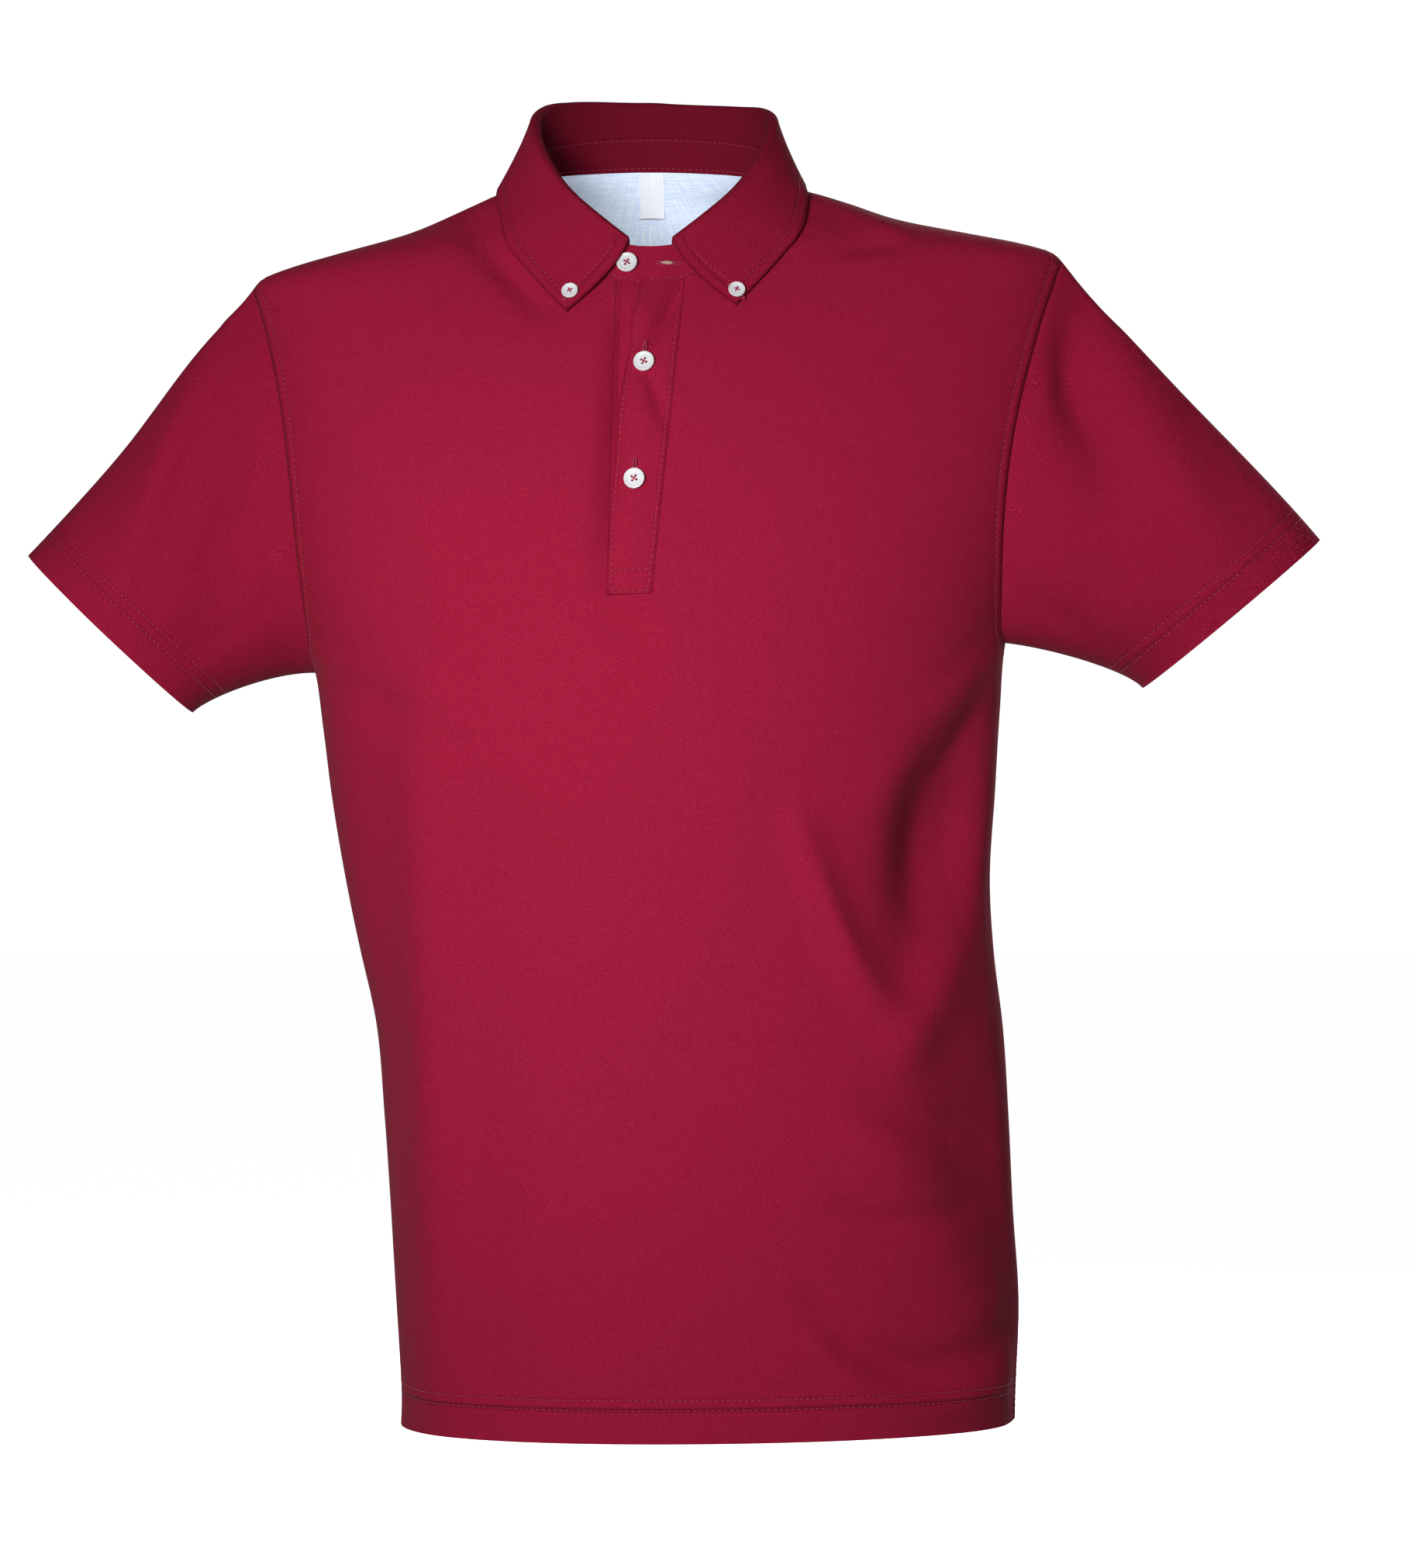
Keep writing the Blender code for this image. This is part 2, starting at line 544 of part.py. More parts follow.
def front_panel(finish):
    """The front: one panel with a notch at the neck that takes the placket."""
    notch = np.linspace(0, 1, NOTCH_ROWS + 1)
    below = np.linspace(0, 1, PANEL_ROWS - NOTCH_ROWS + 1)
    left_corner, right_corner = (neck_angle(seam[0]) for seam in (PLACKET_LEFT_SEAM, PLACKET_RIGHT_SEAM))

    def inner_line(seam):
        angle, level = placket_line(seam, notch)
        lower = PLACKET_FOOT + (HEM_LEVEL - PLACKET_FOOT) * below
        x = seam[1] + FRONT_LINE_FOOT_SHIFT * below
        return np.concatenate([angle[:-1], on_front(x, lower)]), np.concatenate([level[:-1], lower])

    def hem(start, end, count):
        return np.linspace(start, end, count + 1), np.full(count + 1, HEM_LEVEL)

    left_outer, right_outer = outer_line("left", "front"), outer_line("right", "front")
    left_inner, right_inner = inner_line(PLACKET_LEFT_SEAM), inner_line(PLACKET_RIGHT_SEAM)
    left = coons(
        neckline(np.linspace(-math.pi / 2, left_corner, FRONT_COLUMNS + 1)),
        hem(left_outer[0][-1], left_inner[0][-1], FRONT_COLUMNS), left_outer, left_inner,
    )
    right = coons(
        neckline(np.linspace(right_corner, math.pi / 2, FRONT_COLUMNS + 1)),
        hem(right_inner[0][-1], right_outer[0][-1], FRONT_COLUMNS), right_inner, right_outer,
    )
    foot_x = np.linspace(PLACKET_LEFT_SEAM[1], PLACKET_RIGHT_SEAM[1], NOTCH_COLUMNS + 1)
    foot_level = np.full(NOTCH_COLUMNS + 1, PLACKET_FOOT)
    middle = coons(
        (on_front(foot_x, foot_level), foot_level),
        hem(left_inner[0][-1], right_inner[0][-1], NOTCH_COLUMNS),
        tuple(line[NOTCH_ROWS:] for line in left_inner), tuple(line[NOTCH_ROWS:] for line in right_inner),
    )
    first, last = FRONT_COLUMNS, FRONT_COLUMNS + NOTCH_COLUMNS
    angle, level = np.zeros((2, PANEL_ROWS + 1, last + FRONT_COLUMNS + 1))
    for grid, k in ((angle, 0), (level, 1)):
        grid[:, : first + 1] = left[k]
        grid[:, last:] = right[k]
        grid[NOTCH_ROWS:, first : last + 1] = middle[k]
        grid[:NOTCH_ROWS, first + 1 : last] = left[k][:NOTCH_ROWS, -1:]
    outer = torso(angle, level)
    normals = panel_normals(angle, level, {"left": 0, "right": -1}, "front")
    normals[0, : first + 1] = neck_normal(np.linspace(-math.pi / 2, left_corner, FRONT_COLUMNS + 1))
    normals[0, last:] = neck_normal(np.linspace(right_corner, math.pi / 2, FRONT_COLUMNS + 1))
    pull_edge(outer, "first", seam_distances())
    pull_edge(outer, "last", seam_distances())
    pull_edge(outer[:, : first + 1], "top", SEAM_GAP / 2)
    pull_edge(outer[:, last:], "top", SEAM_GAP / 2)
    pull_edge(outer[: NOTCH_ROWS + 1, : first + 1], "last", SEAM_GAP / 2)
    pull_edge(outer[: NOTCH_ROWS + 1, last:], "first", SEAM_GAP / 2)
    outer[NOTCH_ROWS, first : last + 1, 2] -= SEAM_GAP
    return cloth_wall("front", outer, outer - normals * CLOTH, finish, hole=(NOTCH_ROWS, first, last))


def back_grid():
    """The points of the back's outer face and its normals, from the neck to the hem."""
    right, left = outer_line("right", "back"), outer_line("left", "back")
    across = np.linspace(math.pi / 2, 3 * math.pi / 2, BACK_COLUMNS + 1)
    hem = np.linspace(right[0][-1], left[0][-1], BACK_COLUMNS + 1), np.full(BACK_COLUMNS + 1, HEM_LEVEL)
    angle, level = coons(neckline(across), hem, right, left)
    outer = torso(angle, level)
    normals = panel_normals(angle, level, {"right": 0, "left": -1}, "back")
    normals[0] = neck_normal(across)
    pull_edge(outer, "first", seam_distances())
    pull_edge(outer, "last", seam_distances())
    pull_edge(outer, "top", SEAM_GAP / 2)
    return outer, normals


def back_panel(finish):
    """The back: one panel from the neck and shoulder seams to the hem."""
    outer, normals = back_grid()
    return cloth_wall("back", outer, outer - normals * CLOTH, finish)


def sleeve(side, finish):
    """A short sleeve, one piece of cloth round the arm."""
    around = np.linspace(0, 2 * math.pi, 2 * ARMHOLE_ROWS + 1)
    down = np.linspace(0, 1, SLEEVE_ROWS + 1)
    around, down = np.meshgrid(around, down)
    outer = sleeve_surface(side, around, down)
    normals = sleeve_normal(side, around, down)
    normals[0] = armhole_normal(side, around[0])
    for grid in (outer, normals):
        grid[:, -1] = grid[:, 0]
    pull_edge(outer, "top", 0.7 * SEAM_GAP)
    outer[:, -1] = outer[:, 0]
    return cloth_wall("sleeve_" + side, outer, outer - normals * CLOTH, finish, tube=True)


# Collar

def layer_offset(x, seam, free, lift):
    """How far a placket's layer or the stand's end stands off the torso at one x."""
    return lift * np.clip((x - seam) / (free - seam), 0, 1)


def placket(name, seam, free, lift, finish):
    """One of the placket's two strips, sewn at its seam and free at its other long edge."""
    across = np.linspace(0, 1, PLACKET_COLUMNS + 1)[None, :]
    down = np.linspace(0, 1, NOTCH_ROWS + 1)[:, None]
    seam_x, free_x = placket_edge(seam, down), placket_edge(free, down)
    x = seam_x + (free_x - seam_x) * across
    top_level = neckline(neck_angle(x[0]))[1][None, :]
    level = top_level + (PLACKET_FOOT - top_level) * down
    angle = on_front(x, level)
    normals = torso_normal(angle, level)
    points = torso(angle, level)
    normals[0] = neck_normal(neck_angle(x[0]))
    points = points + normals * (lift * across)[..., None]
    pull_edge(points, "first", SEAM_GAP / 2)
    pull_edge(points, "top", SEAM_GAP / 2)
    return cloth_wall(name, points, points - normals * CLOTH, finish)


def stand_columns():
    """Angles round the neck of the stand's columns, and how far each stands off."""
    def end(seam, free, lift):
        x = np.linspace(seam[0], free[0], PLACKET_COLUMNS + 1)
        return neck_angle(x), layer_offset(x, seam[0], free[0], lift)

    under_angle, under_lift = end(PLACKET_LEFT_SEAM, UNDER_FREE_EDGE, -LAYER_STEP)
    upper_angle, upper_lift = end(PLACKET_RIGHT_SEAM, UPPER_FREE_EDGE, LAYER_STEP)
    left = np.linspace(under_angle[0], -math.pi / 2, FRONT_COLUMNS + 1)
    back = np.linspace(-math.pi / 2, -3 * math.pi / 2, BACK_COLUMNS + 1)
    right = np.linspace(math.pi / 2, upper_angle[0], FRONT_COLUMNS + 1) - 2 * math.pi
    angles = [under_angle[::-1], left[1:], back[1:], right[1:], upper_angle[1:] - 2 * math.pi]
    lifts = [under_lift[::-1], 0 * left[1:], 0 * back[1:], 0 * right[1:], upper_lift[1:]]
    return np.concatenate(angles), np.concatenate(lifts)


def stand_surface(around, height, lift):
    """The stand's outer face: 0 at the neckline and 1 at its upper edge."""
    wrapped = np.where(around < -math.pi, around + 2 * math.pi, around)
    foot = torso(*neckline(wrapped)) + neck_normal(wrapped) * lift[..., None]
    head = stand_top(wrapped) + stand_outward(wrapped) * lift[..., None]
    return foot + (head - foot) * height[..., None]


def collar_stand(finish):
    """The collar's upright band, with one end over the other in front."""
    around, lift = stand_columns()
    height = np.linspace(0, 1, STAND_ROWS + 1)
    around, height = np.meshgrid(around, height)
    lift = np.broadcast_to(lift, around.shape)
    outer = stand_surface(around, height, lift)
    normals = stand_outward(around)
    normals[0] = neck_normal(np.where(around[0] < -math.pi, around[0] + 2 * math.pi, around[0]))
    pull_edge(outer, "top", SEAM_GAP)
    return cloth_wall("collar_stand", outer, outer - normals * CLOTH, finish)


def leaf_value(name, around):
    """One column of the leaf's table, the same on both sides of the neck."""
    angles = [math.radians(station.angle) for station in LEAF_STATIONS]
    return smooth(angles, [getattr(station, name) for station in LEAF_STATIONS], np.abs(around))


def leaf_surface(around, rows):
    """The leaf's face that shows: up inside the neck, over the roll and down to its edge.

    The rows are named by their stretch and how far along it they are.
    """
    outward = stand_outward(around)
    upper, under = (neck_angle(seam[0]) for seam in (PLACKET_RIGHT_SEAM, PLACKET_LEFT_SEAM))
    lift = np.where(
        around > 0,
        layer_offset(around, upper, neck_angle(UPPER_FREE_EDGE[0]), LAYER_STEP),
        layer_offset(around, under, neck_angle(UNDER_FREE_EDGE[0]), -LAYER_STEP),
    )
    up = np.array([0.0, 0.0, 1.0])
    foot = stand_top(around) + outward * (lift - CLOTH)[..., None] + up * SEAM_GAP
    crest = leaf_value("fold_height", around) + COLLAR_BACK_LEAN * foot[..., 0] * ease(-np.cos(around))
    crest = np.maximum(crest, foot[..., 2] + ROLL_RADIUS + SEAM_GAP)
    axis = foot + outward * ROLL_RADIUS
    axis[..., 2] = crest - ROLL_RADIUS
    edge_angle = np.radians(leaf_value("edge_angle", around)) * np.sign(around)
    edge_level = leaf_value("edge_level", around)
    edge = torso(edge_angle, edge_level) + torso_normal(edge_angle, edge_level) * LEAF_LIFT
    shoulder = axis + outward * ROLL_RADIUS
    bend = shoulder + (edge - shoulder) * 0.3 + outward * 0.0015 - up * 0.004
    points = []
    for stretch, s in rows:
        if stretch == "rise":
            points.append(foot * (1 - s) + (axis - outward * ROLL_RADIUS) * s)
        elif stretch == "roll":
            turn = math.pi * (1 - s)
            points.append(axis + (outward * math.cos(turn) + up * math.sin(turn)) * ROLL_RADIUS)
        else:
            points.append(shoulder * (1 - s) ** 2 + bend * 2 * s * (1 - s) + edge * s**2)
    return np.stack(points)


def leaf_rows():
    """The rows of the leaf's grid."""
    rise = [("rise", s / RISE_ROWS) for s in range(RISE_ROWS)]
    roll = [("roll", s / ROLL_ROWS) for s in range(ROLL_ROWS)]
    fall = [("fall", s / FALL_ROWS) for s in range(FALL_ROWS + 1)]
    return rise + roll + fall


def leaf_columns():
    """Angles round the neck from the left front end, past the back, to the right one."""
    end = math.radians(LEAF_END_ANGLE)
    stand = stand_columns()[0][PLACKET_COLUMNS : -PLACKET_COLUMNS]
    wrapped = np.where(stand < -math.pi + 1e-9, stand + 2 * math.pi, stand)
    return np.concatenate([[-end], wrapped, [end]])


def collar_leaf(finish):
    """The leaf: sewn to the stand, rolled over and lying on the shoulders."""
    around = leaf_columns()
    outer = leaf_surface(around, leaf_rows())
    normals = grid_normal(outer)
    normals[0] = -stand_outward(around)
    if np.sum(normals[1] * normals[0]) < 0:
        normals[1:] *= -1
    return cloth_wall("collar_leaf", outer, outer - normals * CLOTH, finish)


# Trim

def back_inside(depth):
    """The middle of the back's grid below the neck, moved inwards by a depth."""
    outer, normals = back_grid()
    columns = slice(FACING_MARGIN, BACK_COLUMNS + 1 - FACING_MARGIN)
    points = outer - normals * depth
    return points[: FACING_ROWS + 1, columns], normals[: FACING_ROWS + 1, columns]


def neck_facing(finish):
    """A half moon of thin cloth inside the back, below the neck seam."""
    points, normals = back_inside(CLOTH + SEAM_GAP)
    return cloth_wall("neck_facing", points, points - normals * TRIM_CLOTH, finish)


def label(finish):
    """A small blank label sewn below the neck seam, on the facing."""
    points, normals = back_inside(CLOTH + TRIM_CLOTH + 2 * SEAM_GAP)
    middle = points.shape[1] // 2
    half = LABEL_WIDTH / 2 / np.linalg.norm(points[0, middle + 1] - points[0, middle])

    def between(grid, row, across):
        """A place between the grid's lines, near its middle column."""
        step = 1 if across > 0 else -1
        line = grid[:, middle] * (1 - abs(across)) + grid[:, middle + step] * abs(across)
        return line[0] * (1 - row) + line[1] * row

    places = [[(row, across) for across in (-half, 0.0, half)] for row in LABEL_ROWS]
    outer, outward = (
        np.array([[between(grid, *place) for place in line] for line in places]) for grid in (points, normals)
    )
    return cloth_wall("label", outer, outer - outward * TRIM_CLOTH, finish)


def button(name, radius, seat, outward, finish):
    """A round button with a soft rim, lying on the cloth at its seat."""
    bm = bmesh.new()
    bmesh.ops.create_cone(
        bm, cap_ends=True, segments=16, radius1=radius, radius2=radius, depth=BUTTON_THICKNESS,
    )
    rims = [edge for edge in bm.edges if abs(edge.verts[0].co.z - edge.verts[1].co.z) < 1e-6]
    bmesh.ops.bevel(bm, geom=rims, offset=BUTTON_RIM, segments=1, profile=0.5, affect="EDGES", material=-1)
    turn = Vector((0.0, 0.0, 1.0)).rotation_difference(Vector(outward)).to_matrix().to_4x4()
    place = Vector(seat) + Vector(outward) * (BUTTON_SEAT + BUTTON_THICKNESS / 2)
    bmesh.ops.transform(bm, matrix=Matrix.Translation(place) @ turn, verts=bm.verts[:])
    return add_object(name, bm, finish)


def buttons(finish):
    """Three buttons on the placket and stand, and one at each collar point."""
    around = np.array([math.radians(NECK_BUTTON_ANGLE)])
    lift = layer_offset(around, neck_angle(PLACKET_LEFT_SEAM[0]), neck_angle(UNDER_FREE_EDGE[0]), -LAYER_STEP)
    seat = stand_surface(around, np.array([NECK_BUTTON_HEIGHT]), lift)[0]
    rise = stand_surface(around, np.array([1.0]), lift)[0] - stand_surface(around, np.array([0.0]), lift)[0]
    outward = unit(np.cross(np.cross(rise, stand_outward(around)[0]), rise))
    button("button_neck", BUTTON_RADIUS, seat, outward, finish)
    for name, (x, z) in PLACKET_BUTTONS.items():
        level = np.array(z)
        fraction = (z - neckline(neck_angle(x))[1]) / (PLACKET_FOOT - neckline(neck_angle(x))[1])
        seam, free = placket_edge(PLACKET_RIGHT_SEAM, fraction), placket_edge(UPPER_FREE_EDGE, fraction)
        outward = torso_normal(on_front(x, level), level)
        seat = torso(on_front(x, level), level) + outward * layer_offset(x, seam, free, LAYER_STEP)
        button(name, BUTTON_RADIUS, seat, outward, finish)
    for name, (x, z) in COLLAR_BUTTONS.items():
        turns = np.sign(x) * np.linspace(math.radians(LEAF_END_ANGLE), math.radians(60), 60)
        places = leaf_surface(turns, [("fall", s) for s in np.linspace(0.5, 1.0, 60)])
        row, column = np.unravel_index(
            np.argmin(np.hypot(places[..., 0] - x, places[..., 2] - z)), places.shape[:2])
        outward = grid_normal(places)[row, column]
        outward = outward if outward[1] < 0 else -outward
        button(name, COLLAR_BUTTON_RADIUS, places[row, column], outward, finish)


for old in list(bpy.data.objects):
    bpy.data.objects.remove(old)

knit = material("burgundy_knit", BURGUNDY, 0.85)
oxford = material("pale_blue_weave", PALE_BLUE, 0.80)
satin = material("white_label", WHITE, 0.60)
plastic = material("white_button", WHITE, 0.25)

front_panel(knit)
back_panel(knit)
sleeve("left", knit)
sleeve("right", knit)
placket("placket_under", PLACKET_LEFT_SEAM, UNDER_FREE_EDGE, -LAYER_STEP, knit)
placket("placket_upper", PLACKET_RIGHT_SEAM, UPPER_FREE_EDGE, LAYER_STEP, knit)
collar_stand(knit)
collar_leaf(knit)
neck_facing(oxford)
label(satin)
buttons(plastic)
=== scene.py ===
"""Short-sleeved polo shirt with a button-down collar, filled out as when it is worn.

Metres, +Z up. The front faces -Y and the wearer's left is +X, so a piece named left
hangs at -X, as it is seen from the front. The cloth lies on the same surfaces as the
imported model's walls, with finer folds, and every sewn piece is a thin shell of its own.
"""

import math
from collections import namedtuple

import bmesh
import bpy
import numpy as np
from mathutils import Matrix, Vector


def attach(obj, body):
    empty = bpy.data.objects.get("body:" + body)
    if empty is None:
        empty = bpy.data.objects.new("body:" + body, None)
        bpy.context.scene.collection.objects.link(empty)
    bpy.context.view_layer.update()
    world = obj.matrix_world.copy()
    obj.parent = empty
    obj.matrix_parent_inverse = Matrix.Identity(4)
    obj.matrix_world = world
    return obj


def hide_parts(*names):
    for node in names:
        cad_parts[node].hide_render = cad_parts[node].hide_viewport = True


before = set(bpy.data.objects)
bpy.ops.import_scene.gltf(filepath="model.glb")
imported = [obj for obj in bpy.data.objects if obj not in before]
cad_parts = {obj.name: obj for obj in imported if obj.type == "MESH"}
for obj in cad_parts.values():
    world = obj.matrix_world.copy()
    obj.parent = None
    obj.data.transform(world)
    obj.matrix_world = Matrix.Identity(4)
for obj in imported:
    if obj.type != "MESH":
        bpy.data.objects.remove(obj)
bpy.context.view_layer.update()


# Front: one panel of cotton pique from the shoulder seams to the hem, cut open at the
# neck for the placket. It is sewn to the back at the shoulders and sides, down to a
# short vent, and its hem is turned up and sewn with two rows of stitches.

CLOTH = 0.0016
SEAM_GAP = 0.00014
NECK_POINT_LEVEL = 0.003
SHOULDER_TIP_LEVEL = -0.048
ARMPIT_LEVEL = -0.271
VENT_LEVEL = -0.664
HEM_LEVEL = -0.708
VENT_OPENING = 0.0025
NECK_HALF_WIDTH = 0.070
NECK_FRONT_DROP = 0.065
NECK_BACK_RISE = 0.0116
NECK_DROP_POWER = 1.15
ARMHOLE_REACH = 0.43
SHOULDER_ROWS = 24
ARMHOLE_ROWS = 46
SIDE_ROWS = 80
PANEL_ROWS = SHOULDER_ROWS + ARMHOLE_ROWS + SIDE_ROWS
NOTCH_ROWS = 62
FRONT_COLUMNS = 58
NOTCH_COLUMNS = 12

Ring = namedtuple("Ring", "level middle half_width front back turn lean")
RINGS = (
    Ring(-0.7400, 0.0320, 0.1760, 0.1220, 0.1180, -8.0, 0.010),
    Ring(-0.6940, 0.0321, 0.1767, 0.1215, 0.1175, -8.5, 0.010),
    Ring(-0.6410, 0.0312, 0.1795, 0.1200, 0.1160, -9.5, 0.006),
    Ring(-0.5870, 0.0276, 0.1798, 0.1200, 0.1130, -11.0, 0.000),
    Ring(-0.5340, 0.0243, 0.1806, 0.1200, 0.1095, -12.0, 0.000),
    Ring(-0.4810, 0.0203, 0.1812, 0.1205, 0.1080, -12.0, 0.000),
    Ring(-0.4410, 0.0140, 0.1826, 0.1210, 0.1080, -12.0, 0.000),
    Ring(-0.4000, 0.0092, 0.1850, 0.1225, 0.1085, -12.0, 0.002),
    Ring(-0.3470, 0.0068, 0.1905, 0.1265, 0.1110, -11.0, 0.012),
    Ring(-0.3070, 0.0058, 0.1940, 0.1280, 0.1145, -9.0, 0.028),
    Ring(-0.2710, 0.0050, 0.1980, 0.1265, 0.1190, -6.5, 0.042),
    Ring(-0.2400, 0.0050, 0.2060, 0.1245, 0.1212, -4.8, 0.042),
    Ring(-0.2000, 0.0045, 0.2160, 0.1190, 0.1215, -4.0, 0.040),
    Ring(-0.1500, 0.0040, 0.2245, 0.1080, 0.1160, -2.8, 0.038),
    Ring(-0.1100, 0.0040, 0.2285, 0.0930, 0.1075, -1.6, 0.036),
    Ring(-0.0800, 0.0040, 0.2305, 0.0780, 0.0985, -0.9, 0.036),
    Ring(-0.0620, 0.0038, 0.2320, 0.0670, 0.0925, -0.5, 0.036),
    Ring(-0.0500, 0.0034, 0.2310, 0.0595, 0.0885, -0.3, 0.035),
    Ring(-0.0455, 0.0030, 0.2255, 0.0565, 0.0870, 0.0, 0.034),
    Ring(-0.0400, 0.0026, 0.2090, 0.0535, 0.0848, 0.0, 0.033),
    Ring(-0.0335, 0.0020, 0.1820, 0.0490, 0.0820, 0.0, 0.031),
    Ring(-0.0240, 0.0015, 0.1420, 0.0410, 0.0778, 0.0, 0.028),
    Ring(-0.0140, 0.0010, 0.1150, 0.0310, 0.0732, 0.0, 0.022),
    Ring(-0.0040, 0.0005, 0.0890, 0.0215, 0.0684, 0.0, 0.010),
    Ring(0.0030, 0.0000, 0.0700, 0.0160, 0.0645, 0.0, 0.000),
    Ring(0.0146, 0.0000, 0.0640, 0.0120, 0.0580, 0.0, 0.000),
    Ring(0.0300, 0.0000, 0.0580, 0.0100, 0.0520, 0.0, 0.000),
)
RING_SQUARENESS = 0.03

# Folds as seen from the front: a soft ridge where the height is positive and a trough
# where it is negative, on the front (-1) or on the back (+1).
Fold = namedtuple("Fold", "side start middle end width height")
FOLDS = (
    Fold(-1, (0.084, -0.367), (0.104, -0.440), (0.148, -0.488), 0.012, 0.0062),
    Fold(-1, (0.142, -0.490), (0.168, -0.455), (0.186, -0.398), 0.015, 0.0070),
    Fold(-1, (0.152, -0.330), (0.154, -0.380), (0.146, -0.430), 0.024, -0.0170),
    Fold(-1, (0.178, -0.310), (0.170, -0.350), (0.160, -0.400), 0.018, -0.0040),
    Fold(-1, (0.172, -0.500), (0.188, -0.560), (0.194, -0.640), 0.022, -0.0080),
    Fold(-1, (0.120, -0.520), (0.130, -0.560), (0.165, -0.590), 0.020, 0.0035),
    Fold(-1, (-0.128, -0.290), (-0.122, -0.480), (-0.118, -0.690), 0.015, 0.0045),
    Fold(-1, (-0.158, -0.310), (-0.152, -0.480), (-0.146, -0.690), 0.017, -0.0050),
    Fold(-1, (-0.100, -0.330), (-0.092, -0.480), (-0.090, -0.660), 0.020, -0.0025),
    Fold(-1, (-0.205, -0.095), (-0.160, -0.150), (-0.120, -0.205), 0.016, 0.0030),
    Fold(-1, (0.185, -0.270), (0.160, -0.310), (0.130, -0.350), 0.015, 0.0040),
    Fold(-1, (-0.180, -0.275), (-0.150, -0.300), (-0.115, -0.320), 0.014, -0.0030),
    Fold(1, (-0.150, -0.300), (-0.110, -0.370), (-0.060, -0.420), 0.020, 0.0050),
    Fold(1, (-0.145, -0.350), (-0.115, -0.410), (-0.085, -0.450), 0.018, -0.0055),
    Fold(1, (0.170, -0.290), (0.120, -0.350), (0.070, -0.390), 0.020, 0.0045),
    Fold(1, (0.150, -0.400), (0.140, -0.520), (0.145, -0.650), 0.022, -0.0050),
    Fold(1, (-0.095, -0.470), (-0.085, -0.570), (-0.090, -0.680), 0.022, 0.0045),
    Fold(1, (0.045, -0.480), (0.050, -0.570), (0.055, -0.670), 0.024, 0.0035),
    Fold(1, (-0.120, -0.090), (0.000, -0.105), (0.120, -0.088), 0.018, -0.0025),
)
# The hollow at the waist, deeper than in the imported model, and the smaller creases, which
# the model leaves out
CREASES = (
    Fold(-1, (0.186, -0.320), (0.184, -0.375), (0.172, -0.435), 0.026, -0.0100),
    Fold(-1, (0.142, -0.322), (0.143, -0.375), (0.138, -0.430), 0.020, 0.0060),
    Fold(-1, (0.080, -0.360), (0.098, -0.420), (0.122, -0.466), 0.008, 0.0034),
    Fold(-1, (0.120, -0.520), (0.140, -0.533), (0.168, -0.541), 0.0075, -0.0044),
    Fold(-1, (0.108, -0.578), (0.134, -0.592), (0.178, -0.584), 0.0080, -0.0046),
    Fold(-1, (0.090, -0.630), (0.136, -0.694), (0.206, -0.650), 0.0095, -0.0058),
    Fold(-1, (0.092, -0.654), (0.140, -0.716), (0.206, -0.672), 0.0095, 0.0034),
    Fold(-1, (0.186, -0.580), (0.188, -0.640), (0.188, -0.705), 0.0260, 0.0060),
    Fold(-1, (0.094, -0.010), (0.122, -0.022), (0.148, -0.034), 0.0060, 0.0028),
    Fold(-1, (0.110, -0.040), (0.128, -0.038), (0.150, -0.033), 0.0050, -0.0032),
    Fold(-1, (-0.114, -0.012), (-0.088, -0.046), (-0.060, -0.076), 0.0085, -0.0060),
    Fold(-1, (-0.0155, -0.082), (-0.0195, -0.150), (-0.0240, -0.228), 0.0075, -0.0078),
    Fold(-1, (0.017, -0.064), (0.009, -0.083), (-0.004, -0.097), 0.0052, -0.0056),
    Fold(-1, (-0.004, -0.108), (0.003, -0.126), (0.010, -0.145), 0.0050, -0.0030),
    Fold(-1, (-0.028, -0.250), (-0.014, -0.258), (0.000, -0.262), 0.0070, -0.0030),
    Fold(-1, (0.190, -0.292), (0.180, -0.320), (0.172, -0.338), 0.0070, -0.0026),
    Fold(-1, (0.195, -0.255), (0.180, -0.270), (0.155, -0.288), 0.0070, -0.0022),
    Fold(-1, (-0.196, -0.268), (-0.176, -0.278), (-0.150, -0.282), 0.0070, 0.0020),
    Fold(-1, (-0.070, -0.380), (-0.050, -0.430), (-0.045, -0.500), 0.0260, -0.0012),
    Fold(-1, (0.030, -0.300), (0.050, -0.350), (0.060, -0.400), 0.0240, 0.0014),
    Fold(-1, (0.010, -0.560), (0.040, -0.600), (0.080, -0.620), 0.0180, 0.0014),
    Fold(1, (-0.172, -0.262), (-0.140, -0.285), (-0.105, -0.300), 0.0090, -0.0024),
    Fold(1, (0.178, -0.255), (0.150, -0.280), (0.112, -0.300), 0.0090, -0.0022),
    Fold(1, (-0.150, -0.130), (-0.130, -0.180), (-0.128, -0.230), 0.0120, 0.0022),
    Fold(1, (0.150, -0.135), (0.135, -0.185), (0.130, -0.240), 0.0130, 0.0020),
    Fold(1, (-0.060, -0.440), (-0.010, -0.462), (0.050, -0.455), 0.0100, -0.0022),
    Fold(1, (-0.080, -0.480), (-0.020, -0.500), (0.040, -0.492), 0.0110, 0.0018),
    Fold(1, (0.060, -0.590), (0.110, -0.612), (0.165, -0.605), 0.0090, -0.0018),
    Fold(1, (-0.120, -0.640), (-0.080, -0.656), (-0.030, -0.652), 0.0080, -0.0014),
    Fold(1, (-0.050, -0.110), (0.000, -0.121), (0.060, -0.112), 0.0090, 0.0012),
)
FOLD_SEAM_FADE = 0.25
CREASE_SEAM_MARGIN = 0.04
FOLD_STEPS = 8
FOLD_REACH = 3.0
FOLD_END_SHARE = 0.45
SMOOTH_STEPS = (0.002, 0.0004)
FOLDED_STEPS = (0.004, 0.0008)
FLAT_ROUNDS = 240
FLAT_PUSH = 1.6
CLOTH_SHARP_ANGLE = 55.0
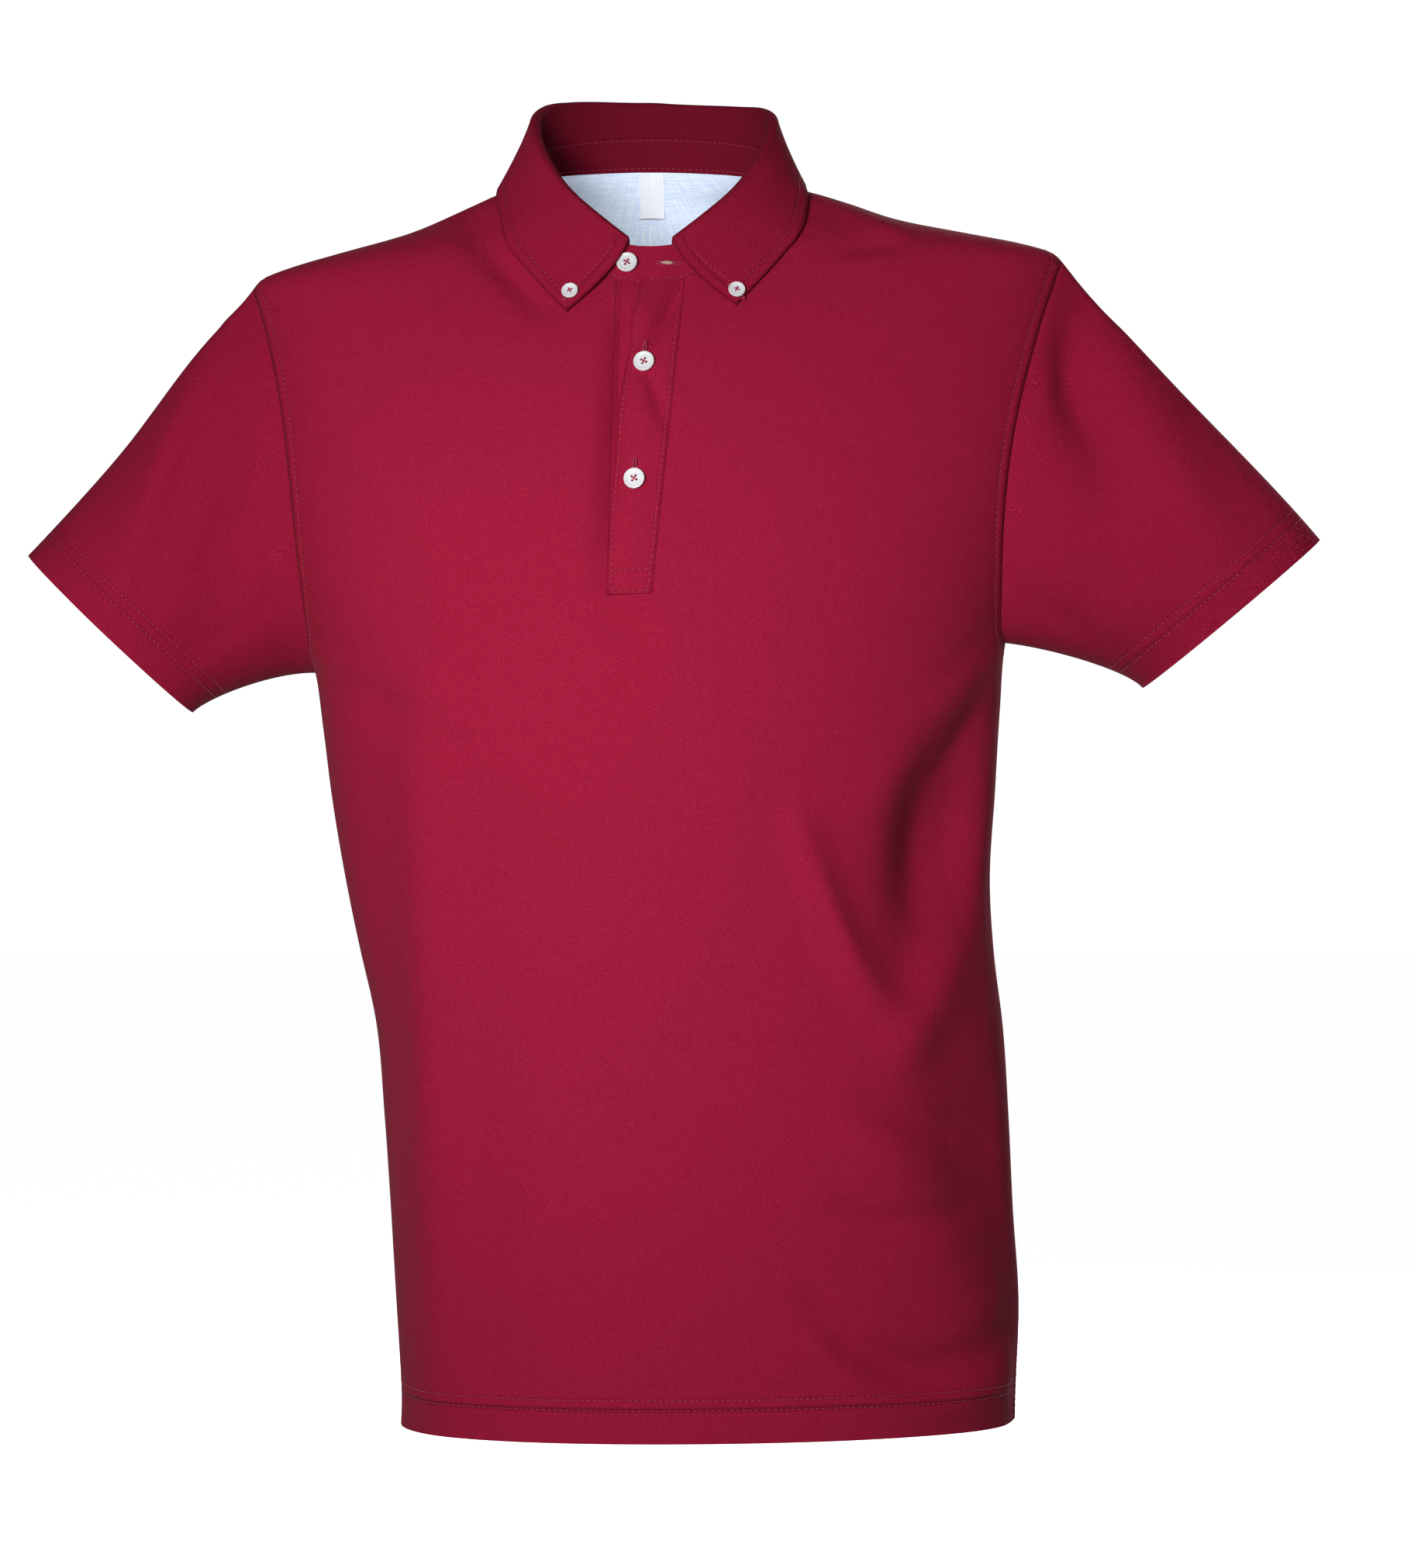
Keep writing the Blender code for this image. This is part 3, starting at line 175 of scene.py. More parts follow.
SIDE_SIGN = {"left": -1.0, "right": 1.0}

# Placket: its seams and free edges, as x at the neck and at the foot
PLACKET_FOOT = -0.2377
PLACKET_LEFT_SEAM = (-0.0194, -0.0239)
PLACKET_RIGHT_SEAM = (0.0196, 0.0015)
UPPER_FREE_EDGE = (-0.0055, -0.0236)
UNDER_FREE_EDGE = (0.0060, 0.0012)
PLACKET_CLOSE_POWER = 1.6
FRONT_LINE_FOOT_SHIFT = 0.018
STAND_HALF_WIDTH = 0.0665
STAND_FRONT = 0.0585


def smooth(knots, values, at):
    """The smooth curve through a table's values."""
    knots = np.asarray(knots, float)
    values = np.asarray(values, float)
    slopes = np.gradient(values, knots)
    low = np.clip(np.searchsorted(knots, at) - 1, 0, len(knots) - 2)
    span = knots[low + 1] - knots[low]
    s = (at - knots[low]) / span
    rise = 3 * s**2 - 2 * s**3
    return (
        values[low] * (1 - rise)
        + values[low + 1] * rise
        + slopes[low] * span * (s**3 - 2 * s**2 + s)
        + slopes[low + 1] * span * (s**3 - s**2)
    )


def ring_value(name, level):
    """One column of the ring table at any level."""
    return smooth([ring.level for ring in RINGS], [getattr(ring, name) for ring in RINGS], level)


def ease(amount):
    """Zero to one with soft ends."""
    amount = np.clip(amount, 0.0, 1.0)
    return amount * amount * (3 - 2 * amount)


def unit(vectors):
    """Vectors of length one."""
    return vectors / np.linalg.norm(vectors, axis=-1, keepdims=True)


def fold_height(fold, x, z):
    """How far one fold lifts the cloth at a place seen from the front."""
    start, middle, end = (np.array(point) for point in (fold.start, fold.middle, fold.end))
    steps = np.linspace(0.0, 1.0, FOLD_STEPS + 1)[:, None]
    spine = start * (1 - steps) ** 2 + middle * 2 * steps * (1 - steps) + end * steps**2
    nearest = np.full(np.shape(x), np.inf)
    along = np.zeros(np.shape(x))
    for index, (tail, head) in enumerate(zip(spine[:-1], spine[1:])):
        run = head - tail
        s = np.clip(((x - tail[0]) * run[0] + (z - tail[1]) * run[1]) / (run @ run), 0.0, 1.0)
        away = np.hypot(x - tail[0] - s * run[0], z - tail[1] - s * run[1])
        along = np.where(away < nearest, (index + s) / FOLD_STEPS, along)
        nearest = np.minimum(nearest, away)
    swell = FOLD_END_SHARE + (1 - FOLD_END_SHARE) * np.sin(math.pi * along)
    return fold.height * swell * np.exp(-((nearest / fold.width) ** 2))


def folds_lift(folds, points, facing_of):
    """How far all the folds of a table lift the cloth, each within its own reach."""
    lift = np.zeros(points.shape[:-1])
    x, z = points[..., 0], points[..., 2]
    for fold in folds:
        facing = facing_of(fold)
        reach = FOLD_REACH * fold.width
        across, down = zip(fold.start, fold.middle, fold.end)
        near = (facing > 0) & (x > min(across) - reach) & (x < max(across) + reach)
        near = near & (z > min(down) - reach) & (z < max(down) + reach)
        lift[near] += facing[near] * fold_height(fold, x[near], z[near])
    return lift


def smooth_torso(angle, level):
    """The torso without its folds. The angle runs from the front towards +X, in radians."""
    middle = ring_value("middle", level)
    turned = angle + np.radians(ring_value("turn", level))
    swell = 1.0 + RING_SQUARENESS * np.sin(2 * turned) ** 2
    depth = np.where(np.cos(turned) > 0, ring_value("front", level), ring_value("back", level))
    x = middle + ring_value("half_width", level) * np.sin(turned) * swell
    y = -depth * np.cos(turned) * swell
    return np.stack([x, y, level + ring_value("lean", level) * x], axis=-1)


def surface_normal(surface, first, second, steps):
    """The outward normal of a surface given by two parameters, from small steps of both."""
    across = surface(first + steps[0], second) - surface(first - steps[0], second)
    along = surface(first, second + steps[1]) - surface(first, second - steps[1])
    return unit(np.cross(across, along))


def torso(angle, level):
    """The torso's outer face, with its folds and creases."""
    angle, level = np.broadcast_arrays(np.asarray(angle, float), np.asarray(level, float))
    points = smooth_torso(angle, level)
    outward = surface_normal(smooth_torso, angle, level, SMOOTH_STEPS)

    def facing(fold, margin=0.0):
        return ease((-fold.side * np.cos(angle) - margin) / FOLD_SEAM_FADE)

    lift = folds_lift(FOLDS, points, facing)
    lift = lift + folds_lift(CREASES, points, lambda fold: facing(fold, CREASE_SEAM_MARGIN))
    return points + outward * lift[..., None]


def torso_normal(angle, level):
    """The torso's outward normal."""
    return surface_normal(torso, angle, level, FOLDED_STEPS)


def to_torso(points):
    """The angle and level of points near the torso. Angles run from -90 to 270 degrees."""
    x, y, z = points[..., 0], points[..., 1], points[..., 2]
    level = z - ring_value("lean", z) * x
    depth = np.where(y < 0, ring_value("front", level), ring_value("back", level))
    turned = np.arctan2((x - ring_value("middle", level)) / ring_value("half_width", level), -y / depth)
    angle = turned - np.radians(ring_value("turn", level))
    return np.where(angle < math.radians(-130), angle + 2 * math.pi, angle), level


def on_front(x, level):
    """The torso's angle at a place on the front."""
    turned = np.arcsin((x - ring_value("middle", level)) / ring_value("half_width", level))
    return turned - np.radians(ring_value("turn", level))


def neckline(around):
    """The neckline's angle and level. It runs by the angle round the neck from the front."""
    cosine = np.cos(around)
    drop = NECK_FRONT_DROP * np.abs(cosine) ** NECK_DROP_POWER
    level = NECK_POINT_LEVEL + np.where(cosine > 0, -drop, -NECK_BACK_RISE * cosine)
    offset = NECK_HALF_WIDTH * np.sin(around) * (1 - 1e-9) - ring_value("middle", level) * np.abs(cosine)
    turned = np.arcsin(np.clip(offset / ring_value("half_width", level), -1.0, 1.0))
    turned = np.where(cosine > 0, turned, around)
    return turned - np.radians(ring_value("turn", level)), level


def armhole(side, around):
    """The armhole's angle and level: 0 at the shoulder tip, the front first, 180 at the armpit."""
    middle = (SHOULDER_TIP_LEVEL + ARMPIT_LEVEL) / 2
    half = (SHOULDER_TIP_LEVEL - ARMPIT_LEVEL) / 2
    angle = SIDE_SIGN[side] * np.arccos(ARMHOLE_REACH * np.sin(around))
    return angle, middle + half * np.cos(around)


def stand_outward(around):
    """The level direction out of the neck."""
    return unit(np.stack([
        np.sin(around) / STAND_HALF_WIDTH,
        -np.cos(around) / STAND_FRONT,
        0 * around,
    ], axis=-1))


def neck_normal(around):
    """The normal that the body and the stand share at the neckline."""
    return unit(torso_normal(*neckline(around)) + stand_outward(around))


def coons(top, bottom, first, last):
    """Angles and levels on the torso inside four edges that are given in the same way."""
    above, below, start, end = (torso(*edge) for edge in (top, bottom, first, last))
    u = np.linspace(0, 1, len(above))[None, :, None]
    v = np.linspace(0, 1, len(start))[:, None, None]
    points = (
        (1 - v) * above[None] + v * below[None] + (1 - u) * start[:, None] + u * end[:, None]
        - (1 - u) * (1 - v) * above[0] - u * (1 - v) * above[-1]
        - (1 - u) * v * below[0] - u * v * below[-1]
    )
    angle, level = to_torso(points)
    for grid, k in ((angle, 0), (level, 1)):
        grid[0], grid[-1] = top[k], bottom[k]
        grid[:, 0], grid[:, -1] = first[k], last[k]
    return angle, level


def outer_line(side, half):
    """A panel's outer edge: shoulder seam, armhole and side seam, for its front or back half."""
    seam = SIDE_SIGN[side] * math.pi / 2
    if half == "back" and side == "left":
        seam = seam + 2 * math.pi
    shoulder = np.linspace(NECK_POINT_LEVEL, SHOULDER_TIP_LEVEL, SHOULDER_ROWS + 1)
    reach = np.linspace(0, math.pi, ARMHOLE_ROWS + 1)
    angle, level = armhole(side, reach if half == "front" else 2 * math.pi - reach)
    if half == "back" and side == "left":
        angle = angle + 2 * math.pi
    down = np.linspace(ARMPIT_LEVEL, HEM_LEVEL, SIDE_ROWS + 1)
    angles = np.concatenate([np.full(SHOULDER_ROWS, seam), angle, np.full(SIDE_ROWS, seam)])
    return angles, np.concatenate([shoulder[:-1], level, down[1:]])


def seam_distances():
    """How far a panel's outer edge stands back from its seam, opening into the vent."""
    levels = outer_line("right", "front")[1]
    opening = np.clip((VENT_LEVEL - levels) / (VENT_LEVEL - HEM_LEVEL), 0, 1)
    opening[: SHOULDER_ROWS + ARMHOLE_ROWS] = 0
    return SEAM_GAP / 2 + VENT_OPENING * opening


def pull_edge(points, edge, distance):
    """Draw one edge of a grid back from its seam, square to the edge."""
    grid = {
        "top": points,
        "bottom": points[::-1],
        "first": points.swapaxes(0, 1),
        "last": points.swapaxes(0, 1)[::-1],
    }[edge]
    run = unit(np.gradient(grid[0], axis=0))
    inward = grid[2] - grid[0]
    inward = inward - np.sum(inward * run, axis=-1, keepdims=True) * run
    grid[0] += unit(inward) * np.reshape(distance, (-1, 1))


def placket_edge(edge, fraction):
    """The x of one of the placket's long edges, from the neck to the foot."""
    power = PLACKET_CLOSE_POWER if edge in (UPPER_FREE_EDGE, UNDER_FREE_EDGE) else 1.0
    return edge[1] + (edge[0] - edge[1]) * (1 - fraction) ** power


def neck_angle(x):
    """The angle round the neck where the front neckline has this x."""
    return np.arcsin(x / NECK_HALF_WIDTH)


def placket_line(edge, fractions):
    """Angles and levels on the torso along one of the placket's long edges."""
    start_level = neckline(neck_angle(np.array(edge[0])))[1]
    level = start_level + (PLACKET_FOOT - start_level) * fractions
    return on_front(placket_edge(edge, fractions), level), level


def panel_normals(angle, level, side_columns, half):
    """A panel's normals, with the seam's own ones along the armholes."""
    normals = torso_normal(angle, level)
    reach = np.linspace(0, math.pi, ARMHOLE_ROWS + 1)
    around = reach if half == "front" else 2 * math.pi - reach
    rows = slice(SHOULDER_ROWS, SHOULDER_ROWS + ARMHOLE_ROWS + 1)
    for side, column in side_columns.items():
        normals[rows, column] = armhole_normal(side, around)
    return normals


def armhole_normal(side, around):
    """The normal that the body and the sleeve share at their seam."""
    outward = np.stack([SIDE_SIGN[side] + 0 * around, 0 * around, 0 * around], axis=-1)
    return unit(torso_normal(*armhole(side, around)) + outward)


def run_along(points):
    """How far along a line, or down each column of a grid, every point lies, in metres."""
    return np.cumsum(np.linalg.norm(np.diff(points, axis=0, prepend=points[:1]), axis=-1), axis=0)


def flat_places(points, start):
    """Where a grid's points would lie with the cloth laid flat, in metres."""
    flat = np.array(start, float)
    for _ in range(FLAT_ROUNDS):
        moved = np.zeros_like(flat)
        shares = np.zeros(flat.shape[:2])
        for down, right in ((0, 1), (1, 0), (1, 1), (1, -1)):
            rows, columns = flat.shape[:2]
            first = (slice(0, rows - down), slice(max(0, -right), columns - max(0, right)))
            second = (slice(down, rows), slice(max(0, right), columns + min(0, right)))
            gap = flat[second] - flat[first]
            now = np.linalg.norm(gap, axis=-1) + 1e-12
            wanted = np.linalg.norm(points[second] - points[first], axis=-1)
            step = gap * ((now - wanted) / now / 2)[..., None]
            moved[first] += step
            moved[second] -= step
            shares[first] += 1
            shares[second] += 1
        flat += moved / shares[..., None] * FLAT_PUSH
    return flat


def torso_start(angle, level, middle_angle):
    """A first guess at the torso's flat places: round the body, and down it."""
    steps = np.linspace(0.0, 1.0, 17)[:, None, None]
    rings = smooth_torso(middle_angle + (angle - middle_angle) * steps, level)
    run = np.linalg.norm(np.diff(rings[..., :2], axis=0), axis=-1).sum(axis=0)
    return np.stack([np.sign(angle - middle_angle) * run, level], axis=-1)


def even_start(points, middle=0.0):
    """A first guess at a grid's flat places, from its mean steps across and down."""
    across = np.linalg.norm(np.diff(points, axis=1), axis=-1).mean(axis=0)
    down = np.linalg.norm(np.diff(points, axis=0), axis=-1).mean(axis=1)
    across = np.concatenate([[0], np.cumsum(across)])
    down = np.concatenate([[0], np.cumsum(down)])
    return np.stack(np.meshgrid(across - middle * across[-1], -down), axis=-1)


def piece_of(name, bm, finish, sharp_angle=None):
    """An object made from a bmesh in one finish, its edges sharp from an angle in degrees."""
    mesh = bpy.data.meshes.new(name)
    bm.to_mesh(mesh)
    bm.free()
    mesh.materials.append(finish)
    mesh.shade_smooth()
    if sharp_angle:
        mesh.set_sharp_from_angle(angle=math.radians(sharp_angle))
    made = bpy.data.objects.new(name, mesh)
    bpy.context.scene.collection.objects.link(made)
    return made


def cloth_wall(name, outer, inner, flat, facts, finish, tube=False, hole=None):
    """A closed thin shell of cloth between two grids of points, with an optional hole.

    The hole is given as its last row and its first and last columns, from the top edge.
    The flat places become the UV map, and each fact an attribute of the points. The inner wall
    is marked for painted shade, which a fact of that name replaces.
    """
    columns = outer.shape[1]
    bm = bmesh.new()
    bmesh.ops.create_grid(bm, x_segments=columns - 1, y_segments=len(outer) - 1, size=1.0)
    place = bm.verts.layers.int.new("place")
    inside_painted_shade = bm.verts.layers.float.new("inside_painted_shade")
    for index, vertex in enumerate(bm.verts):
        vertex[place] = index

    def at(grid, vertex):
        return grid[vertex[place] // columns, vertex[place] % columns]

    if hole:
        last_row, first_column, last_column = hole
        cut = [
            face for face in bm.faces
            if max(vertex[place] // columns for vertex in face.verts) <= last_row
            and min(vertex[place] % columns for vertex in face.verts) >= first_column
            and max(vertex[place] % columns for vertex in face.verts) <= last_column
        ]
        bmesh.ops.delete(bm, geom=cut, context="FACES")
    for vertex in bm.verts:
        vertex.co = at(outer, vertex)
    uv = bm.loops.layers.uv.new("cloth")
    for face in bm.faces:
        for loop in face.loops:
            loop[uv].uv = at(flat, loop.vert)
    if tube:
        bmesh.ops.remove_doubles(bm, verts=bm.verts[:], dist=1e-6)
    lining = bmesh.ops.extrude_face_region(bm, geom=bm.faces[:], use_keep_orig=True)
    for item in lining["geom"]:
        if isinstance(item, bmesh.types.BMVert):
            item.co = at(inner, item)
            item[inside_painted_shade] = 1.0
    for fact, values in facts.items():
        layer = bm.verts.layers.float.get(fact) or bm.verts.layers.float.new(fact)
        for vertex in bm.verts:
            vertex[layer] = at(values, vertex)
    bmesh.ops.recalc_face_normals(bm, faces=bm.faces[:])
    return piece_of(name, bm, finish, CLOTH_SHARP_ANGLE)


def grid_area(points):
    """The area of a grid of points, in square metres."""
    corner, right, below, far = points[:-1, :-1], points[:-1, 1:], points[1:, :-1], points[1:, 1:]
    first = np.linalg.norm(np.cross(right - corner, below - corner), axis=-1)
    second = np.linalg.norm(np.cross(right - far, below - far), axis=-1)
    return float((first + second).sum() / 2)


def put_in(tree, node, inputs):
    """Put sockets or plain values into a node's inputs, each by its name or number."""
    for word, value in inputs.items():
        if isinstance(value, bpy.types.NodeSocket):
            tree.links.new(value, node.inputs[word])
        else:
            node.inputs[word].default_value = value


def shader_node(tree, kind, inputs=None, **settings):
    """A new node, with its settings made and its inputs filled."""
    made = tree.nodes.new("ShaderNode" + kind)
    for word, value in settings.items():
        setattr(made, word, value)
    put_in(tree, made, inputs or {})
    return made


def maths(tree, operation, *values):
    """A Math node's result, with sockets or numbers put into it."""
    return shader_node(tree, "Math", dict(enumerate(values)), operation=operation).outputs[0]


def group(name, inputs, outputs):
    """An empty node group with named sockets, and its two end nodes."""
    tree = bpy.data.node_groups.new(name, "ShaderNodeTree")
    for word, kind, value in inputs:
        socket = tree.interface.new_socket(word, in_out="INPUT", socket_type=kind)
        if value is not None:
            socket.default_value = value
    for word, kind in outputs:
        tree.interface.new_socket(word, in_out="OUTPUT", socket_type=kind)
    return tree, tree.nodes.new("NodeGroupInput"), tree.nodes.new("NodeGroupOutput")


def noise(tree, place, scale, detail=2.0, roughness=0.5):
    """A noise texture's values."""
    facts = {"Vector": place, "Scale": scale, "Detail": detail, "Roughness": roughness}
    return shader_node(tree, "TexNoise", facts).outputs["Fac"]


def rescaled(tree, value, start=(0.0, 1.0), end=(0.0, 1.0), easing="LINEAR"):
    """A value moved from one range to another."""
    facts = {
        "Value": value, "From Min": start[0], "From Max": start[1], "To Min": end[0], "To Max": end[1]}
    return shader_node(tree, "MapRange", facts, interpolation_type=easing).outputs["Result"]


def mixed(tree, first, second, share):
    """Two colours mixed."""
    facts = {"A": first, "B": second, "Factor": share}
    return shader_node(tree, "Mix", facts, data_type="RGBA").outputs["Result"]


def object_place(tree):
    """The place on the object, for patterns that don't follow the cloth."""
    return shader_node(tree, "TexCoord").outputs["Object"]


def new_finish(name):
    """A new material, with its node tree and its shader."""
    finish = bpy.data.materials.new(name)
    finish.use_nodes = True
    return finish, finish.node_tree, finish.node_tree.nodes["Principled BSDF"]


PIQUE_ACROSS = 0.00182
PIQUE_DOWN = 0.00138
PIQUE_RELIEF = 0.00022
PIQUE_WANDER = 0.0010
PIQUE_HOLLOW = (0.62, 0.08)
HOLLOW_PAINTED_SHADE = 0.80
YARN_SCALE = 900.0
YARN_RELIEF = 0.00011
FLECK_RANGE = (0.35, 0.75)
FLECK_SHARE = 0.55
CLOUD_SCALE = 9.0
CLOUD_SHADE = 0.10
SLACK_SCALE = 38.0
SLACK_RELIEF = 0.0009
VALLEY_PAINTED_SHADE = 900.0
INSIDE_SHADE_SHARE = 0.75
THREAD_TWIST = 2200.0
THREAD_SHADE = 0.72
THREAD_RELIEF = 0.0001
# A valley's depth presses the cloth in and also sets how much painted shade darkens it
Valley = namedtuple("Valley", "edge distance width depth")
BURGUNDY = (0.445, 0.0105, 0.0530, 1.0)
# A deeper burgundy: random cloudy tone, and painted shade in hollows, valleys and on the sleeves and leaf
BURGUNDY_TONE_AND_SHADE = (0.170, 0.0025, 0.0160, 1.0)
BURGUNDY_INSIDE_SHADE = (0.172, 0.0060, 0.0205, 1.0)
BURGUNDY_LIGHT = (0.600, 0.0300, 0.0950, 1.0)
BURGUNDY_SHEEN = (0.95, 0.45, 0.55, 1.0)


def pique_group():
    """Pique knit: raised cells with small hollows between them, and a hollow mask for painted shade."""
    tree, given, made = group(
        "pique_cells",
        [("Place", "NodeSocketVector", None), ("Across", "NodeSocketFloat", PIQUE_ACROSS),
         ("Down", "NodeSocketFloat", PIQUE_DOWN)],
        [("Height", "NodeSocketFloat"), ("Hollow", "NodeSocketFloat")],
    )
    wander = noise(tree, given.outputs["Place"], 90.0, 1.0)
    apart = shader_node(tree, "SeparateXYZ", {"Vector": given.outputs["Place"]})
    nudge = maths(tree, "MULTIPLY", maths(tree, "SUBTRACT", wander, 0.5), PIQUE_WANDER)
    waves = []
    for axis, pitch in (("X", "Across"), ("Y", "Down")):
        place = maths(tree, "ADD", apart.outputs[axis], nudge)
        turns = maths(tree, "DIVIDE", place, given.outputs[pitch])
        waves.append(maths(tree, "COSINE", maths(tree, "MULTIPLY", turns, math.tau)))
    cells = maths(tree, "MULTIPLY_ADD", maths(tree, "MULTIPLY", *waves), 0.5, 0.5)
    hollow = rescaled(tree, cells, PIQUE_HOLLOW, easing="SMOOTHSTEP")
    put_in(tree, made, {"Height": cells, "Hollow": hollow})
    return tree


def stitch_valley_group():
    """The soft valley that a row of stitches pulls into cloth, at a distance from an edge."""
    tree, given, made = group(
        "stitch_valley",
        [("Distance", "NodeSocketFloat", 1.0), ("Row", "NodeSocketFloat", 0.006),
         ("Width", "NodeSocketFloat", 0.0011)],
        [("Depth", "NodeSocketFloat")],
    )
    away = maths(tree, "SUBTRACT", given.outputs["Distance"], given.outputs["Row"])
    away = maths(tree, "DIVIDE", away, given.outputs["Width"])
    square = maths(tree, "MULTIPLY", away, away)
    put_in(tree, made, {"Depth": maths(tree, "EXPONENT", maths(tree, "MULTIPLY", square, -1.0))})
    return tree


PIQUE = pique_group()
STITCH_VALLEY = stitch_valley_group()


def knit(name, valleys, painted_shade=0.0):
    """Burgundy cotton pique, with valleys at distances from its edges, or ridges.

    A valley's edge is the attribute that holds the distance, and a ridge's depth is
    negative. Each valley is pressed in and darkened with painted shade, and the knit's
    hollows and inner faces get painted shade too. The painted shade, from 0 to 1,
    darkens the whole piece a little more.
    """
    finish, tree, shader = new_finish(name)
    place = shader_node(tree, "UVMap", uv_map="cloth").outputs["UV"]
    cells = shader_node(
        tree, "Group", {"Across": PIQUE_ACROSS, "Down": PIQUE_DOWN, "Place": place}, node_tree=PIQUE)
    spot = object_place(tree)
    yarn = noise(tree, spot, YARN_SCALE)
    cloud = noise(tree, spot, CLOUD_SCALE, 3.0)
    slack = noise(tree, spot, SLACK_SCALE, 3.0, 0.45)

    flecks = rescaled(tree, yarn, FLECK_RANGE, (0.0, FLECK_SHARE))
    colour = mixed(tree, BURGUNDY, BURGUNDY_LIGHT, flecks)
    # Painted shade in the hollows between the knit's cells
    hollow_painted_shade = maths(tree, "MULTIPLY", cells.outputs["Hollow"], HOLLOW_PAINTED_SHADE)
    colour = mixed(tree, colour, BURGUNDY_TONE_AND_SHADE, hollow_painted_shade)
    height = maths(tree, "MULTIPLY", cells.outputs["Height"], PIQUE_RELIEF)
    height = maths(tree, "ADD", height, maths(tree, "MULTIPLY", yarn, YARN_RELIEF))
    height = maths(tree, "ADD", height, maths(tree, "MULTIPLY", slack, SLACK_RELIEF))
    # The cloud deepens the colour at random, and painted shade is added to it
    cloud_and_painted_shade = maths(tree, "ADD", maths(tree, "MULTIPLY", cloud, CLOUD_SHADE), painted_shade)
    # Each valley is pressed in and darkened with painted shade; a ridge is not darkened
    for valley in valleys:
        edge = shader_node(tree, "Attribute", attribute_name=valley.edge).outputs["Fac"]
        facts = {"Distance": edge, "Row": valley.distance, "Width": valley.width}
        pull = shader_node(tree, "Group", facts, node_tree=STITCH_VALLEY).outputs["Depth"]
        height = maths(tree, "SUBTRACT", height, maths(tree, "MULTIPLY", pull, valley.depth))
        valley_painted_shade = maths(tree, "MULTIPLY", pull, max(0.0, valley.depth) * VALLEY_PAINTED_SHADE)
        cloud_and_painted_shade = maths(tree, "ADD", cloud_and_painted_shade, valley_painted_shade)
    colour = mixed(tree, colour, BURGUNDY_TONE_AND_SHADE, cloud_and_painted_shade)
    # Painted shade on the cloth's inner walls and on the leaf's face inside the neck
    inside = shader_node(tree, "Attribute", attribute_name="inside_painted_shade").outputs["Fac"]
    colour = mixed(tree, colour, BURGUNDY_INSIDE_SHADE, maths(tree, "MULTIPLY", inside, INSIDE_SHADE_SHARE))
    bump = shader_node(tree, "Bump", {"Strength": 1.0, "Distance": 1.0, "Height": height})
    put_in(tree, shader, {
        "Base Color": colour,
        "Normal": bump.outputs["Normal"],
        "Roughness": 0.88,
        "Specular IOR Level": 0.05,
        "Sheen Weight": 0.02,
        "Sheen Roughness": 0.45,
        "Sheen Tint": BURGUNDY_SHEEN,
    })
    return finish


def thread(name, colour):
    """Sewing thread: twisted polyester with a soft shine."""
    finish, tree, shader = new_finish(name)
    twist = noise(tree, object_place(tree), THREAD_TWIST)
    shaded = tuple(value * THREAD_SHADE for value in colour[:3]) + (1.0,)
    bump = shader_node(tree, "Bump", {"Distance": THREAD_RELIEF, "Height": twist})
    put_in(tree, shader, {
        "Base Color": mixed(tree, shaded, colour, twist),
        "Normal": bump.outputs["Normal"],
        "Roughness": 0.55,
    })
    return finish


BURGUNDY_THREAD = thread("burgundy_thread", (0.520, 0.0400, 0.1000, 1.0))


